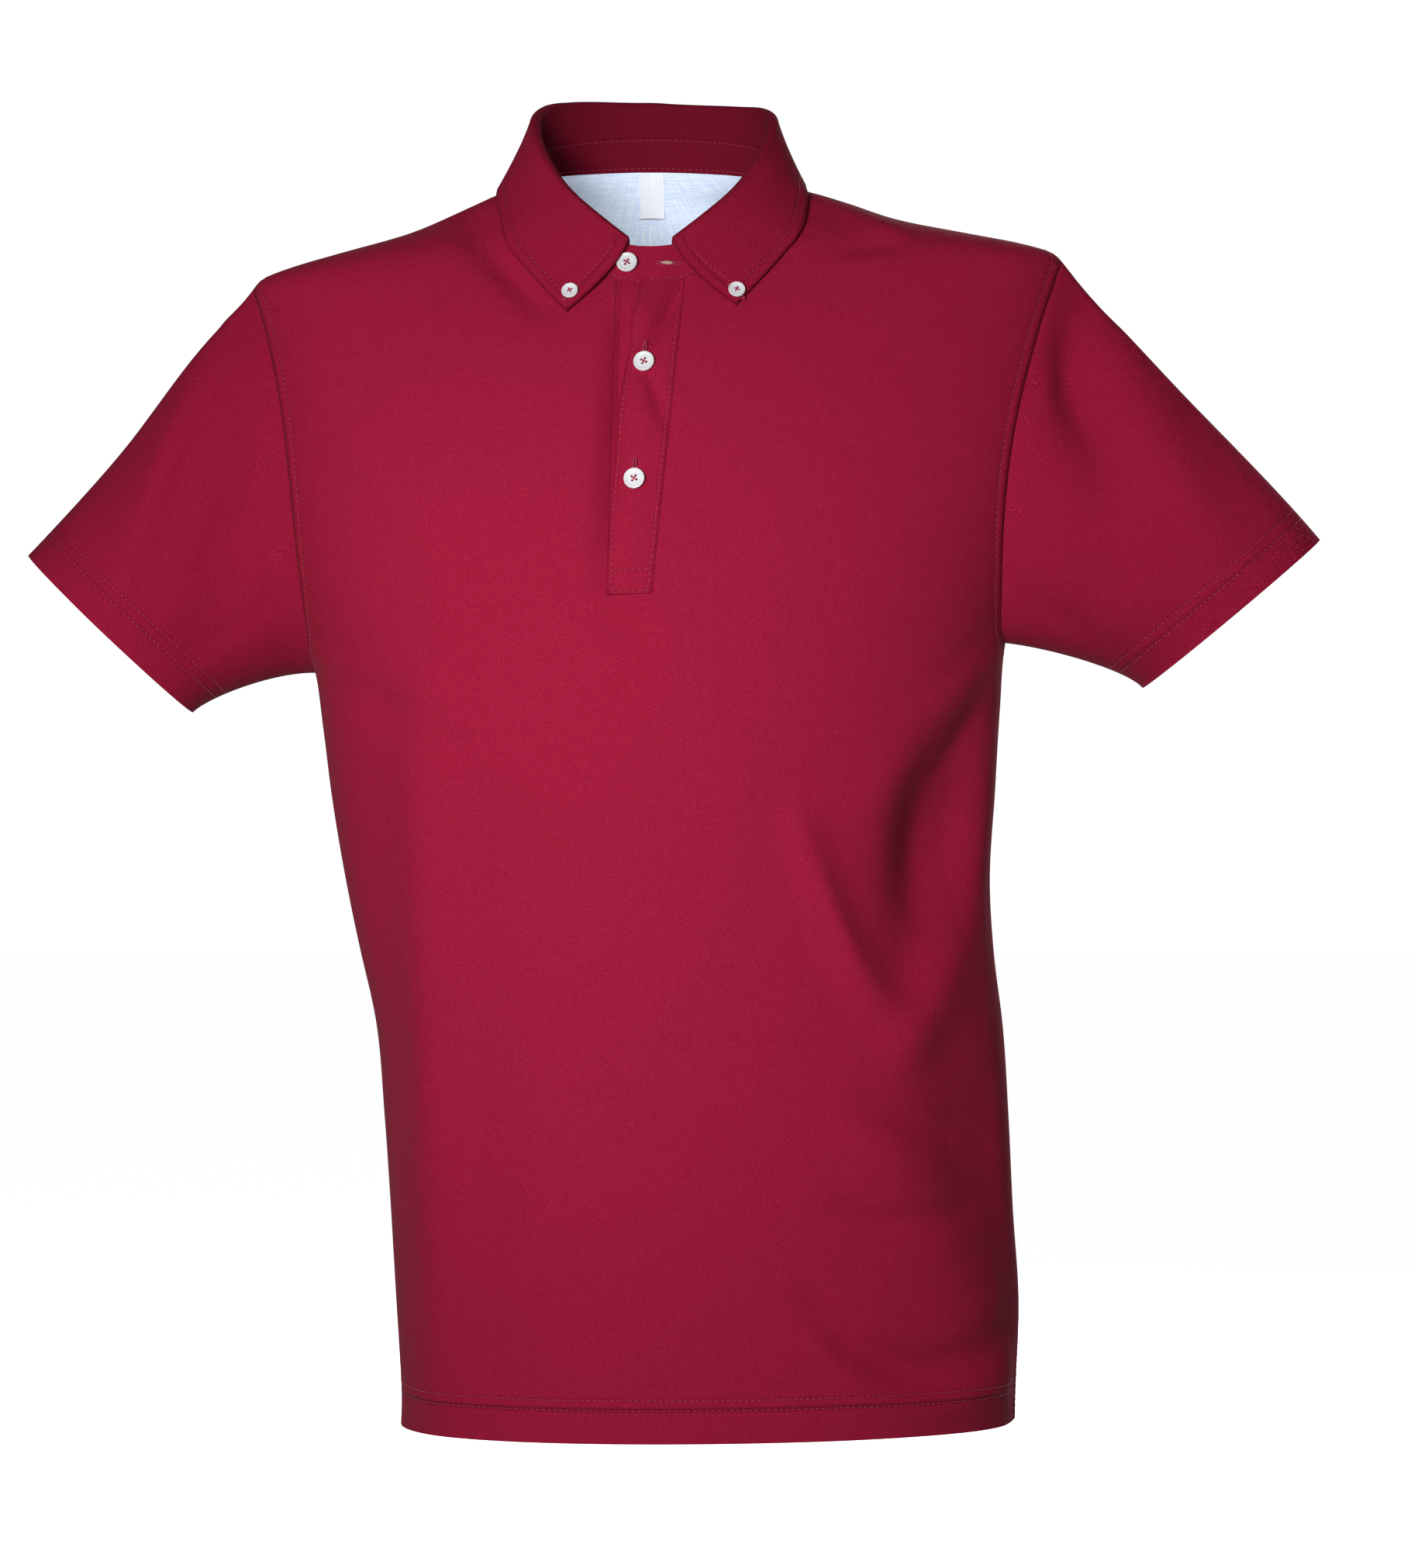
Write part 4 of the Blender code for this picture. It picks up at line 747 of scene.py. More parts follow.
def front_panel():
    """The front: one panel with a notch at the neck that takes the placket."""
    notch = np.linspace(0, 1, NOTCH_ROWS + 1)
    below = np.linspace(0, 1, PANEL_ROWS - NOTCH_ROWS + 1)
    left_corner, right_corner = (neck_angle(seam[0]) for seam in (PLACKET_LEFT_SEAM, PLACKET_RIGHT_SEAM))

    def inner_line(seam):
        angle, level = placket_line(seam, notch)
        lower = PLACKET_FOOT + (HEM_LEVEL - PLACKET_FOOT) * below
        x = seam[1] + FRONT_LINE_FOOT_SHIFT * below
        return np.concatenate([angle[:-1], on_front(x, lower)]), np.concatenate([level[:-1], lower])

    def hem(start, end, count):
        return np.linspace(start, end, count + 1), np.full(count + 1, HEM_LEVEL)

    left_outer, right_outer = outer_line("left", "front"), outer_line("right", "front")
    left_inner, right_inner = inner_line(PLACKET_LEFT_SEAM), inner_line(PLACKET_RIGHT_SEAM)
    left_neck = np.linspace(-math.pi / 2, left_corner, FRONT_COLUMNS + 1)
    right_neck = np.linspace(right_corner, math.pi / 2, FRONT_COLUMNS + 1)
    left = coons(
        neckline(left_neck),
        hem(left_outer[0][-1], left_inner[0][-1], FRONT_COLUMNS), left_outer, left_inner,
    )
    right = coons(
        neckline(right_neck),
        hem(right_inner[0][-1], right_outer[0][-1], FRONT_COLUMNS), right_inner, right_outer,
    )
    foot_x = np.linspace(PLACKET_LEFT_SEAM[1], PLACKET_RIGHT_SEAM[1], NOTCH_COLUMNS + 1)
    foot_level = np.full(NOTCH_COLUMNS + 1, PLACKET_FOOT)
    middle = coons(
        (on_front(foot_x, foot_level), foot_level),
        hem(left_inner[0][-1], right_inner[0][-1], NOTCH_COLUMNS),
        tuple(line[NOTCH_ROWS:] for line in left_inner),
        tuple(line[NOTCH_ROWS:] for line in right_inner),
    )
    first, last = FRONT_COLUMNS, FRONT_COLUMNS + NOTCH_COLUMNS
    angle, level = np.zeros((2, PANEL_ROWS + 1, last + FRONT_COLUMNS + 1))
    for grid, k in ((angle, 0), (level, 1)):
        grid[:, : first + 1] = left[k]
        grid[:, last:] = right[k]
        grid[NOTCH_ROWS:, first : last + 1] = middle[k]
        share = np.linspace(0, 1, NOTCH_COLUMNS + 1)[1:-1]
        grid[:NOTCH_ROWS, first + 1 : last] = (
            left[k][:NOTCH_ROWS, -1:] * (1 - share) + right[k][:NOTCH_ROWS, :1] * share)
    outer = torso(angle, level)
    flat = flat_places(outer, torso_start(angle, level, 0.0))
    area = grid_area(outer) - grid_area(outer[: NOTCH_ROWS + 1, first : last + 1])
    normals = panel_normals(angle, level, {"left": 0, "right": -1}, "front")
    normals[0, : first + 1] = neck_normal(left_neck)
    normals[0, last:] = neck_normal(right_neck)
    facts = edge_facts(outer, level)
    pull_edge(outer, "first", seam_distances())
    pull_edge(outer, "last", seam_distances())
    pull_edge(outer[:, : first + 1], "top", SEAM_GAP / 2)
    pull_edge(outer[:, last:], "top", SEAM_GAP / 2)
    pull_edge(outer[: NOTCH_ROWS + 1, : first + 1], "last", SEAM_GAP / 2)
    pull_edge(outer[: NOTCH_ROWS + 1, last:], "first", SEAM_GAP / 2)
    outer[NOTCH_ROWS, first : last + 1, 2] -= SEAM_GAP
    inner = outer - normals * CLOTH
    made = cloth_wall(
        "front_cloth", outer, inner, flat, facts, BODY_KNIT, hole=(NOTCH_ROWS, first, last))
    return made, area


def line_distances(points, line):
    """How far each point of a grid is from a line of points, in metres."""
    nearest = np.full(points.shape[:2], np.inf)
    for tail, head in zip(line[:-1], line[1:]):
        run = head - tail
        s = np.clip(((points - tail) @ run) / (run @ run), 0.0, 1.0)
        nearest = np.minimum(nearest, np.linalg.norm(points - tail - s[..., None] * run, axis=-1))
    return nearest


def edge_facts(outer, level):
    """Each point's distance from the hem's edge and from the nearest armhole."""
    rows = slice(SHOULDER_ROWS, SHOULDER_ROWS + ARMHOLE_ROWS + 1)
    armholes = np.minimum(line_distances(outer, outer[rows, 0]), line_distances(outer, outer[rows, -1]))
    return {"from_hem": level - HEM_LEVEL, "from_armhole": armholes}


HEM_ROWS = (0.0185, 0.0240)
ARMHOLE_STITCHES = 0.0070
VENT_STITCHES = 0.0075
VENT_STITCH_RISE = 0.002
VENT_BODY_DEPTH = 0.12
# Painted shade darkens the hem rows, the armhole stitches and a line at the armhole seam
BODY_KNIT = knit("pique_body", [
    Valley("from_hem", HEM_ROWS[0], 0.0011, 0.00065),
    Valley("from_hem", HEM_ROWS[1], 0.0010, 0.00025),
    Valley("from_hem", (HEM_ROWS[0] + HEM_ROWS[1]) / 2, 0.0016, -0.00035),
    Valley("from_armhole", ARMHOLE_STITCHES, 0.0011, 0.00030),
    Valley("from_armhole", 0.0038, 0.0024, -0.00055),
    Valley("from_armhole", 0.0, 0.0011, 0.00070),
])

# Stitches: rows of lockstitch in burgundy thread, each a short thread pressed into the cloth
STITCH = 0.0027
STITCH_SPACE = 0.0007
STITCH_HALF_SHARE = 0.54
STITCH_SINK = 0.00008
THREAD_RADIUS = 0.00026
THREAD_FLATNESS = 0.8
THREAD_RISE = 0.35
HEM_ROW_END = 0.02
ARMHOLE_ROW_TOP = 0.12
ARMHOLE_ROW_FOOT = 0.1
HEM_ROW_PLACES = 260
ARMHOLE_ROW_PLACES = 140
VENT_ROW_PLACES = 40
VENT_TOP_PLACES = 12


def stitch_row(bm, line, normals):
    """Stitches along a line of points on cloth, with the cloth's normals there."""
    run = run_along(line)
    count = max(1, int(run[-1] // (STITCH + STITCH_SPACE)))
    for middle in (np.arange(count) + 0.5) * run[-1] / count:
        ends = [
            np.array([np.interp(middle + side * STITCH / 2, run, line[:, axis]) for axis in range(3)])
            for side in (-1, 1)
        ]
        normal = Vector([np.interp(middle, run, normals[:, axis]) for axis in range(3)]).normalized()
        along = Vector(ends[1] - ends[0])
        if along.length < 1e-6:
            continue
        along.normalize()
        across = normal.cross(along).normalized()
        turned = Matrix((along, across, normal)).transposed().to_4x4()
        centre = Vector((ends[0] + ends[1]) / 2) + normal * (THREAD_RADIUS * THREAD_RISE - STITCH_SINK)
        size = (STITCH * STITCH_HALF_SHARE, THREAD_RADIUS, THREAD_RADIUS * THREAD_FLATNESS, 1.0)
        shape = Matrix.Translation(centre) @ turned @ Matrix.Diagonal(size)
        bmesh.ops.create_icosphere(bm, subdivisions=1, radius=1.0, matrix=shape)


def stitches(name, rows):
    """One object with the stitches of all the rows of a piece."""
    bm = bmesh.new()
    for row in rows:
        stitch_row(bm, *row)
    made = piece_of(name, bm, BURGUNDY_THREAD)
    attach(made, "root")
    return made


def torso_row(angle, level):
    """A line on the torso with its normals."""
    return torso(angle, level), torso_normal(angle, level)


def hem_rows(first, last):
    """Two rows round the body above the hem."""
    angle = np.linspace(first, last, HEM_ROW_PLACES)
    return [torso_row(angle, np.full(angle.shape, HEM_LEVEL + height)) for height in HEM_ROWS]


def vent_rows(seam, inward):
    """A row up one edge of a vent and one across its top."""
    top = VENT_LEVEL + VENT_STITCH_RISE
    level = np.linspace(HEM_LEVEL + VENT_STITCH_RISE, top, VENT_ROW_PLACES)
    up = torso_row(seam + inward * VENT_STITCHES / ring_value("front", level), level)
    across = np.linspace(0, 1, VENT_TOP_PLACES) * VENT_STITCHES / VENT_BODY_DEPTH
    return [up, torso_row(seam + inward * across, np.full(VENT_TOP_PLACES, top))]


def armhole_row(side, first, last):
    """The row of stitches on the body beside an armhole seam."""
    angle, level = armhole(side, np.linspace(first, last, ARMHOLE_ROW_PLACES))
    points = torso(angle, level)
    inward = np.cross(unit(np.gradient(points, axis=0)), torso_normal(angle, level))
    to_middle = points * (-1, 0, 0)
    inward = inward * np.sign(np.sum(inward * to_middle, axis=-1, keepdims=True))
    return torso_row(*to_torso(points + inward * ARMHOLE_STITCHES))


def panel_stitches(name, start):
    """A panel's stitches, from its seam at one angle to the seam half way round."""
    end = start + math.pi
    rows = hem_rows(start + HEM_ROW_END, end - HEM_ROW_END) + vent_rows(start, 1) + vent_rows(end, -1)
    if start < 0:
        reach = ARMHOLE_ROW_TOP, math.pi - ARMHOLE_ROW_FOOT
    else:
        reach = math.pi + ARMHOLE_ROW_FOOT, math.tau - ARMHOLE_ROW_TOP
    return stitches(name, rows + [armhole_row(side, *reach) for side in ("left", "right")])


front, front_area = front_panel()
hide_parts("front")
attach(front, "root")
front_stitches = panel_stitches("front_stitches", -math.pi / 2)


# Back: one panel of the same pique, sewn to the front at the shoulders and sides. Its
# hem is turned up and sewn like the front's, and it hangs open at the side vents.

BACK_COLUMNS = 112


def back_grid():
    """The back's outer face, normals, flat places and facts, from the neck to the hem."""
    right, left = outer_line("right", "back"), outer_line("left", "back")
    across = np.linspace(math.pi / 2, 3 * math.pi / 2, BACK_COLUMNS + 1)
    hem = np.linspace(right[0][-1], left[0][-1], BACK_COLUMNS + 1), np.full(BACK_COLUMNS + 1, HEM_LEVEL)
    angle, level = coons(neckline(across), hem, right, left)
    outer = torso(angle, level)
    flat = flat_places(outer, torso_start(angle, level, math.pi))
    normals = panel_normals(angle, level, {"right": 0, "left": -1}, "back")
    normals[0] = neck_normal(across)
    facts = edge_facts(outer, level)
    pull_edge(outer, "first", seam_distances())
    pull_edge(outer, "last", seam_distances())
    pull_edge(outer, "top", SEAM_GAP / 2)
    return outer, normals, flat, facts


back_outer, back_normals, back_flat, back_facts = back_grid()
back = cloth_wall(
    "back_cloth", back_outer, back_outer - back_normals * CLOTH, back_flat, back_facts, BODY_KNIT)
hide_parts("back")
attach(back, "root")
back_stitches = panel_stitches("back_stitches", math.pi / 2)


# Sleeves: two short set-in sleeves of the same pique, each one piece round the arm with
# its seam underneath. The cuff is turned up and sewn with two rows of stitches.

SLEEVE_ROWS = 64
SLEEVE_BULGE = 0.12
CUFF_PULL_OVER = 0.90
CUFF_PULL_UNDER = 0.45
SLEEVE_FOLD_START = 0.14
SLEEVE_FOLD_FADE = 0.4
SLEEVE_STEPS = (0.01, 0.004)
CUFF_HEM_ROWS = (0.0165, 0.0230)
CUFF_ROW_PLACES = 181
CUFF_SEARCH_START = 0.6
CUFF_SEARCH_PLACES = 61
# Painted shade that darkens the sleeves and the leaf a little all over
SLEEVE_LEAF_PAINTED_SHADE = 0.16

# Each sleeve's cuff, how it leaves the shoulder and the armpit, and its folds, with
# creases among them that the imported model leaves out
Sleeve = namedtuple("Sleeve", "cuff_middle cuff_top half_depth over under folds")
SLEEVES = {
    "left": Sleeve(
        (-0.3100, -0.004, -0.2570), (-0.3570, -0.004, -0.2120), 0.050,
        (-0.58, 0.0, -0.81), (-0.97, 0.0, 0.05),
        (
            Fold(-1, (-0.240, -0.085), (-0.266, -0.150), (-0.300, -0.240), 0.022, 0.0100),
            Fold(-1, (-0.212, -0.130), (-0.228, -0.190), (-0.254, -0.254), 0.020, -0.0060),
            Fold(-1, (-0.242, -0.095), (-0.268, -0.150), (-0.300, -0.235), 0.0075, 0.0022),
            Fold(-1, (-0.238, -0.092), (-0.254, -0.150), (-0.284, -0.226), 0.0100, -0.0050),
            Fold(1, (-0.225, -0.130), (-0.255, -0.180), (-0.290, -0.240), 0.018, -0.0045),
            Fold(-1, (-0.212, -0.238), (-0.232, -0.252), (-0.262, -0.272), 0.006, -0.0018),
            Fold(-1, (-0.230, -0.210), (-0.250, -0.232), (-0.276, -0.256), 0.008, 0.0014),
            Fold(1, (-0.214, -0.230), (-0.236, -0.248), (-0.262, -0.262), 0.008, -0.0020),
        ),
    ),
    "right": Sleeve(
        (0.3324, -0.004, -0.2455), (0.3831, -0.004, -0.2030), 0.050,
        (0.62, 0.0, -0.78), (0.95, 0.0, -0.10),
        (
            Fold(-1, (0.238, -0.070), (0.250, -0.140), (0.270, -0.220), 0.016, -0.0115),
            Fold(-1, (0.264, -0.095), (0.290, -0.150), (0.320, -0.210), 0.016, 0.0050),
            Fold(-1, (0.252, -0.150), (0.262, -0.185), (0.274, -0.228), 0.015, 0.0062),
            Fold(-1, (0.228, -0.075), (0.234, -0.105), (0.240, -0.140), 0.010, -0.0042),
            Fold(1, (0.232, -0.120), (0.262, -0.170), (0.300, -0.220), 0.018, 0.0045),
            Fold(-1, (0.222, -0.215), (0.236, -0.235), (0.262, -0.256), 0.007, 0.0018),
            Fold(-1, (0.214, -0.235), (0.226, -0.246), (0.246, -0.256), 0.006, -0.0020),
            Fold(1, (0.222, -0.225), (0.244, -0.240), (0.270, -0.250), 0.008, -0.0018),
        ),
    ),
}


def smooth_sleeve(side, around, down):
    """A sleeve without its folds. It runs from the armhole, at 0, down to the cuff, at 1."""
    around, down = np.broadcast_arrays(np.asarray(around, float), np.asarray(down, float))
    sleeve = SLEEVES[side]
    middle = np.array(sleeve.cuff_middle)
    reach = np.array(sleeve.cuff_top) - middle
    axis = unit(np.array([SIDE_SIGN[side] * -reach[2], 0.0, SIDE_SIGN[side] * reach[0]]))
    axis = axis * -np.sign(axis[2])
    top = torso(*armhole(side, around))
    cuff = middle + np.cos(around)[..., None] * reach
    cuff = cuff - np.stack([0 * around, sleeve.half_depth * np.sin(around), 0 * around], axis=-1)
    length = np.linalg.norm(cuff - top, axis=-1)[..., None]
    over = ((1 + np.cos(around)) / 2)[..., None]
    leave = np.array(sleeve.over) * over + np.array(sleeve.under) * (1 - over)
    leave = leave - np.stack([0 * around, SLEEVE_BULGE * np.sin(around), 0 * around], axis=-1)
    arrive = axis * (CUFF_PULL_OVER * over + CUFF_PULL_UNDER * (1 - over))
    s = down[..., None]
    rise = 3 * s**2 - 2 * s**3
    return (
        top * (1 - rise)
        + cuff * rise
        + leave * length * (s**3 - 2 * s**2 + s)
        + arrive * length * (s**3 - s**2)
    )


def sleeve_surface(side, around, down):
    """A sleeve's outer face, with its folds."""
    around, down = np.broadcast_arrays(np.asarray(around, float), np.asarray(down, float))
    points = smooth_sleeve(side, around, down)
    outward = sleeve_normal(side, around, down, smooth_sleeve)
    start = ease(down / SLEEVE_FOLD_START)
    lift = folds_lift(
        SLEEVES[side].folds, points,
        lambda fold: ease(-fold.side * np.sin(around) / SLEEVE_FOLD_FADE) * start)
    return points + outward * lift[..., None]


def sleeve_normal(side, around, down, surface=sleeve_surface):
    """A sleeve's outward normal."""
    def place(first, second):
        return surface(side, first, second)

    return SIDE_SIGN[side] * surface_normal(place, around, down, SLEEVE_STEPS)


def cuff_rows(side):
    """Two rows round a sleeve above its cuff."""
    around = np.linspace(-math.pi, math.pi, CUFF_ROW_PLACES)
    down = np.linspace(CUFF_SEARCH_START, 1.0, CUFF_SEARCH_PLACES)
    from_cuff = run_along(sleeve_surface(side, *np.meshgrid(around, down))[::-1])[::-1]
    rows = []
    for height in CUFF_HEM_ROWS:
        places = np.array([np.interp(-height, -from_cuff[:, k], down) for k in range(len(around))])
        rows.append((sleeve_surface(side, around, places), sleeve_normal(side, around, places)))
    return rows


def set_in_sleeve(side):
    """A short sleeve with its stitches."""
    around = np.linspace(-math.pi, math.pi, 2 * ARMHOLE_ROWS + 1)
    around, down = np.meshgrid(around, np.linspace(0, 1, SLEEVE_ROWS + 1))
    outer = sleeve_surface(side, around, down)
    flat = flat_places(outer, even_start(outer, middle=0.5))
    facts = {"from_cuff": run_along(outer[::-1])[::-1]}
    normals = sleeve_normal(side, around, down)
    normals[0] = armhole_normal(side, around[0])
    normals[:, -1] = normals[:, 0]
    outer[:, -1] = outer[:, 0]
    pull_edge(outer, "top", SEAM_GAP)
    outer[:, -1] = outer[:, 0]
    # Painted shade darkens the whole sleeve a little, and its cuff rows
    finish = knit("pique_sleeve_" + side, [
        Valley("from_cuff", CUFF_HEM_ROWS[0], 0.0011, 0.00030),
        Valley("from_cuff", CUFF_HEM_ROWS[1], 0.0010, 0.00025),
        Valley("from_cuff", (CUFF_HEM_ROWS[0] + CUFF_HEM_ROWS[1]) / 2, 0.0018, -0.00035),
    ], painted_shade=SLEEVE_LEAF_PAINTED_SHADE)
    made = cloth_wall(
        "sleeve_" + side + "_cloth", outer, outer - normals * CLOTH, flat, facts, finish, tube=True)
    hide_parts("sleeve_" + side)
    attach(made, "root")
    sewn = stitches("sleeve_" + side + "_stitches", cuff_rows(side))


for side in SIDE_SIGN:
    set_in_sleeve(side)


# Placket: two folded strips of the same pique in the front's notch, the wearer's left
# lying over the right. Each is sewn along one long edge and across a box at its foot.

PLACKET_COLUMNS = 16
LAYER_STEP = 0.0020
PLACKET_STITCHES = 0.0026
PLACKET_STITCH_TOP = -0.0660
PLACKET_STITCH_FOOT = 0.002
BOX_ROWS = (0.0018, 0.0135)
BOX_INSETS = (0.0022, 0.0010)
PLACKET_ROW_PLACES = 120
BOX_ROW_PLACES = 20
# Between the buttons the free edges stand apart: level, reach and rise of each gape
GAPES = ((-0.0790, 0.0110, 1.2), (-0.1320, 0.0180, 0.9), (-0.1980, 0.0180, 0.5))
# Painted shade darkens the placket's stitch rows and a line along its long edges
PLACKET_KNIT = knit("pique_placket", [
    Valley("from_long_edge", PLACKET_STITCHES, 0.0008, 0.00022),
    Valley("from_long_edge", 0.0001, 0.0009, 0.00045),
    Valley("from_foot", BOX_ROWS[0], 0.0008, 0.00022),
    Valley("from_foot", BOX_ROWS[1], 0.0008, 0.00022),
])


def gape(level):
    """How much farther apart the placket's strips stand between the buttons."""
    return 1.0 + sum(rise * np.exp(-(((level - middle) / reach) ** 2)) for middle, reach, rise in GAPES)


def layer_offset(x, seam, free, lift):
    """How far a placket's layer or the stand's end stands off the torso at one x."""
    return lift * np.clip((x - seam) / (free - seam), 0, 1)


def placket(name, seam, free, lift):
    """One of the placket's two strips, sewn at its seam and free at its other long edge."""
    across = np.linspace(0, 1, PLACKET_COLUMNS + 1)[None, :]
    down = np.linspace(0, 1, NOTCH_ROWS + 1)[:, None]
    seam_x, free_x = placket_edge(seam, down), placket_edge(free, down)
    x = seam_x + (free_x - seam_x) * across
    top_level = neckline(neck_angle(x[0]))[1][None, :]
    level = top_level + (PLACKET_FOOT - top_level) * down
    angle = on_front(x, level)
    normals = torso_normal(angle, level)
    points = torso(angle, level)
    normals[0] = neck_normal(neck_angle(x[0]))
    points = points + normals * (lift * across * gape(level))[..., None]
    area = grid_area(points)
    flat = np.stack([x, level], axis=-1)
    facts = {
        "from_long_edge": np.minimum(np.abs(x - seam_x), np.abs(x - free_x)),
        "from_foot": level - PLACKET_FOOT,
    }
    pull_edge(points, "first", SEAM_GAP / 2)
    pull_edge(points, "top", SEAM_GAP / 2)
    made = cloth_wall(name + "_cloth", points, points - normals * CLOTH, flat, facts, PLACKET_KNIT)
    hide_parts(name)
    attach(made, "root")
    return made, area


def placket_fraction(level):
    """How far down the placket a level is."""
    top = neckline(neck_angle(0.0))[1]
    return np.clip((level - top) / (PLACKET_FOOT - top), 0, 1)


def upper_lift(x, level):
    """How far the upper strip stands off the torso."""
    fraction = placket_fraction(level)
    seam, free = placket_edge(PLACKET_RIGHT_SEAM, fraction), placket_edge(UPPER_FREE_EDGE, fraction)
    return gape(level) * layer_offset(x, seam, free, LAYER_STEP)


def placket_row(x, level):
    """A row of places on the upper strip, with the torso's normals there."""
    angle = on_front(x, level)
    normals = torso_normal(angle, level)
    return torso(angle, level) + normals * upper_lift(x, level)[..., None], normals


def placket_rows():
    """A row inside each long edge of the upper strip, and two across its foot."""
    down = np.linspace(PLACKET_STITCH_TOP, PLACKET_FOOT + PLACKET_STITCH_FOOT, PLACKET_ROW_PLACES)
    rows = [
        placket_row(placket_edge(edge, placket_fraction(down)) + inset, down)
        for edge, inset in ((PLACKET_RIGHT_SEAM, -PLACKET_STITCHES), (UPPER_FREE_EDGE, PLACKET_STITCHES))
    ]
    left, right = PLACKET_LEFT_SEAM[1] + BOX_INSETS[0], PLACKET_RIGHT_SEAM[1] - BOX_INSETS[1]
    across = np.linspace(left, right, BOX_ROW_PLACES)
    return rows + [placket_row(across, PLACKET_FOOT + height + 0 * across) for height in BOX_ROWS]


placket_under, placket_under_area = placket(
    "placket_under", PLACKET_LEFT_SEAM, UNDER_FREE_EDGE, -LAYER_STEP)
placket_upper, placket_upper_area = placket(
    "placket_upper", PLACKET_RIGHT_SEAM, UPPER_FREE_EDGE, LAYER_STEP)
placket_stitches = stitches("placket_stitches", placket_rows())


# Collar stand: a doubled band of pique sewn upright round the neckline. One end lies
# over the other in front, where the neck button is, and it holds the leaf at its top.

STAND_ROWS = 14
STAND_BACK = 0.0545
STAND_SIDE_LEVEL = 0.019
STAND_FRONT_DROP = 0.0590
STAND_BACK_RISE = 0.015
COLLAR_MIDDLE_SHIFT = 0.0030
STAND_SIDE_COLUMNS = 48
STAND_BACK_COLUMNS = 72
STAND_FOOT_STITCHES = 0.0022
# Rows of stitches, as the height on the stand and whether they show on its inner face
STAND_STITCH_ROWS = ((0.10, False), (0.09, True), (0.92, True))
STAND_STITCH_END = 3
# Painted shade darkens the stitch row at the stand's foot
STAND_KNIT = knit("pique_stand", [Valley("from_neck_seam", STAND_FOOT_STITCHES, 0.0009, 0.00025)])


def stand_top(around):
    """The upper edge of the collar stand, on its outer face."""
    cosine = np.cos(around)
    depth = np.where(cosine > 0, STAND_FRONT, STAND_BACK)
    drop = STAND_FRONT_DROP * np.abs(cosine) ** NECK_DROP_POWER
    level = STAND_SIDE_LEVEL + np.where(cosine > 0, -drop, -STAND_BACK_RISE * cosine)
    shift = COLLAR_MIDDLE_SHIFT * (1 - np.maximum(cosine, 0)) / 2
    return np.stack([shift + STAND_HALF_WIDTH * np.sin(around), -depth * cosine, level], axis=-1)


def stand_columns():
    """Angles round the neck of the stand's columns, and how far each stands off."""
    def end(seam, free, lift):
        x = np.linspace(seam[0], free[0], PLACKET_COLUMNS + 1)
        return neck_angle(x), layer_offset(x, seam[0], free[0], lift)

    under_angle, under_lift = end(PLACKET_LEFT_SEAM, UNDER_FREE_EDGE, -LAYER_STEP)
    upper_angle, upper_lift = end(PLACKET_RIGHT_SEAM, UPPER_FREE_EDGE, LAYER_STEP)
    left = np.linspace(under_angle[0], -math.pi / 2, STAND_SIDE_COLUMNS + 1)
    rear = np.linspace(-math.pi / 2, -3 * math.pi / 2, STAND_BACK_COLUMNS + 1)
    right = np.linspace(math.pi / 2, upper_angle[0], STAND_SIDE_COLUMNS + 1) - 2 * math.pi
    angles = [under_angle[::-1], left[1:], rear[1:], right[1:], upper_angle[1:] - 2 * math.pi]
    lifts = [under_lift[::-1], 0 * left[1:], 0 * rear[1:], 0 * right[1:], upper_lift[1:]]
    return np.concatenate(angles), np.concatenate(lifts)


def front_turn(around):
    """An angle that runs back past the neck's rear, given from the front instead."""
    return np.where(around < -math.pi, around + 2 * math.pi, around)


def stand_surface(around, height, lift):
    """The stand's outer face: 0 at the neckline and 1 at its upper edge."""
    wrapped = front_turn(around)
    foot = torso(*neckline(wrapped)) + neck_normal(wrapped) * lift[..., None]
    head = stand_top(wrapped) + stand_outward(wrapped) * lift[..., None]
    return foot + (head - foot) * height[..., None]


def collar_stand():
    """The collar's upright band, with one end over the other in front."""
    around, lift = stand_columns()
    height = np.linspace(0, 1, STAND_ROWS + 1)
    around, height = np.meshgrid(around, height)
    lift = np.broadcast_to(lift, around.shape)
    outer = stand_surface(around, height, lift)
    area = grid_area(outer)
    up = run_along(outer)
    flat = np.stack([np.broadcast_to(run_along(outer[0]), up.shape), up], axis=-1)
    normals = stand_outward(around)
    normals[0] = neck_normal(front_turn(around[0]))
    pull_edge(outer, "top", SEAM_GAP)
    facts = {"from_neck_seam": up}
    made = cloth_wall("stand_cloth", outer, outer - normals * CLOTH, flat, facts, STAND_KNIT)
    return made, area


def stand_row(height, inside):
    """A row along the stand at a height from 0 to 1, on its outer or its inner face."""
    around, lift = (values[STAND_STITCH_END:-STAND_STITCH_END] for values in stand_columns())
    points = stand_surface(around, np.full(around.shape, height), lift)
    outward = stand_outward(around)
    if inside:
        return points - outward * CLOTH, -outward
    return points, outward


stand, stand_area = collar_stand()
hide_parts("collar_stand")
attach(stand, "root")
stand_stitches = stitches("stand_stitches", [stand_row(*row) for row in STAND_STITCH_ROWS])


# Collar leaf: a doubled piece of pique sewn to the stand's upper edge, rolled over it
# and lying on the shoulders, its two points buttoned down to the front.

LEAF_END_ANGLE = 10.5
ROLL_RADIUS = 0.0034
ROLL_ROWS = 12
RISE_ROWS = 10
FALL_ROWS = 34
LEAF_LIFT = 0.0034
COLLAR_BACK_LEAN = -0.035
LEAF_STITCHES = 0.0062
LEAF_BULGE = 0.0022
LEAF_BULGE_REACH = 16.0
# How far towards the edge the fall's bend lies, and its shift out and down
LEAF_BEND_SHARE = 0.3
LEAF_BEND_OUT = 0.0015
LEAF_BEND_DROP = 0.004
LEAF_SIDE_COLUMNS = 56
LEAF_BACK_COLUMNS = 36
LEAF_STITCH_START = 0.004
LEAF_END_PLACES = 24

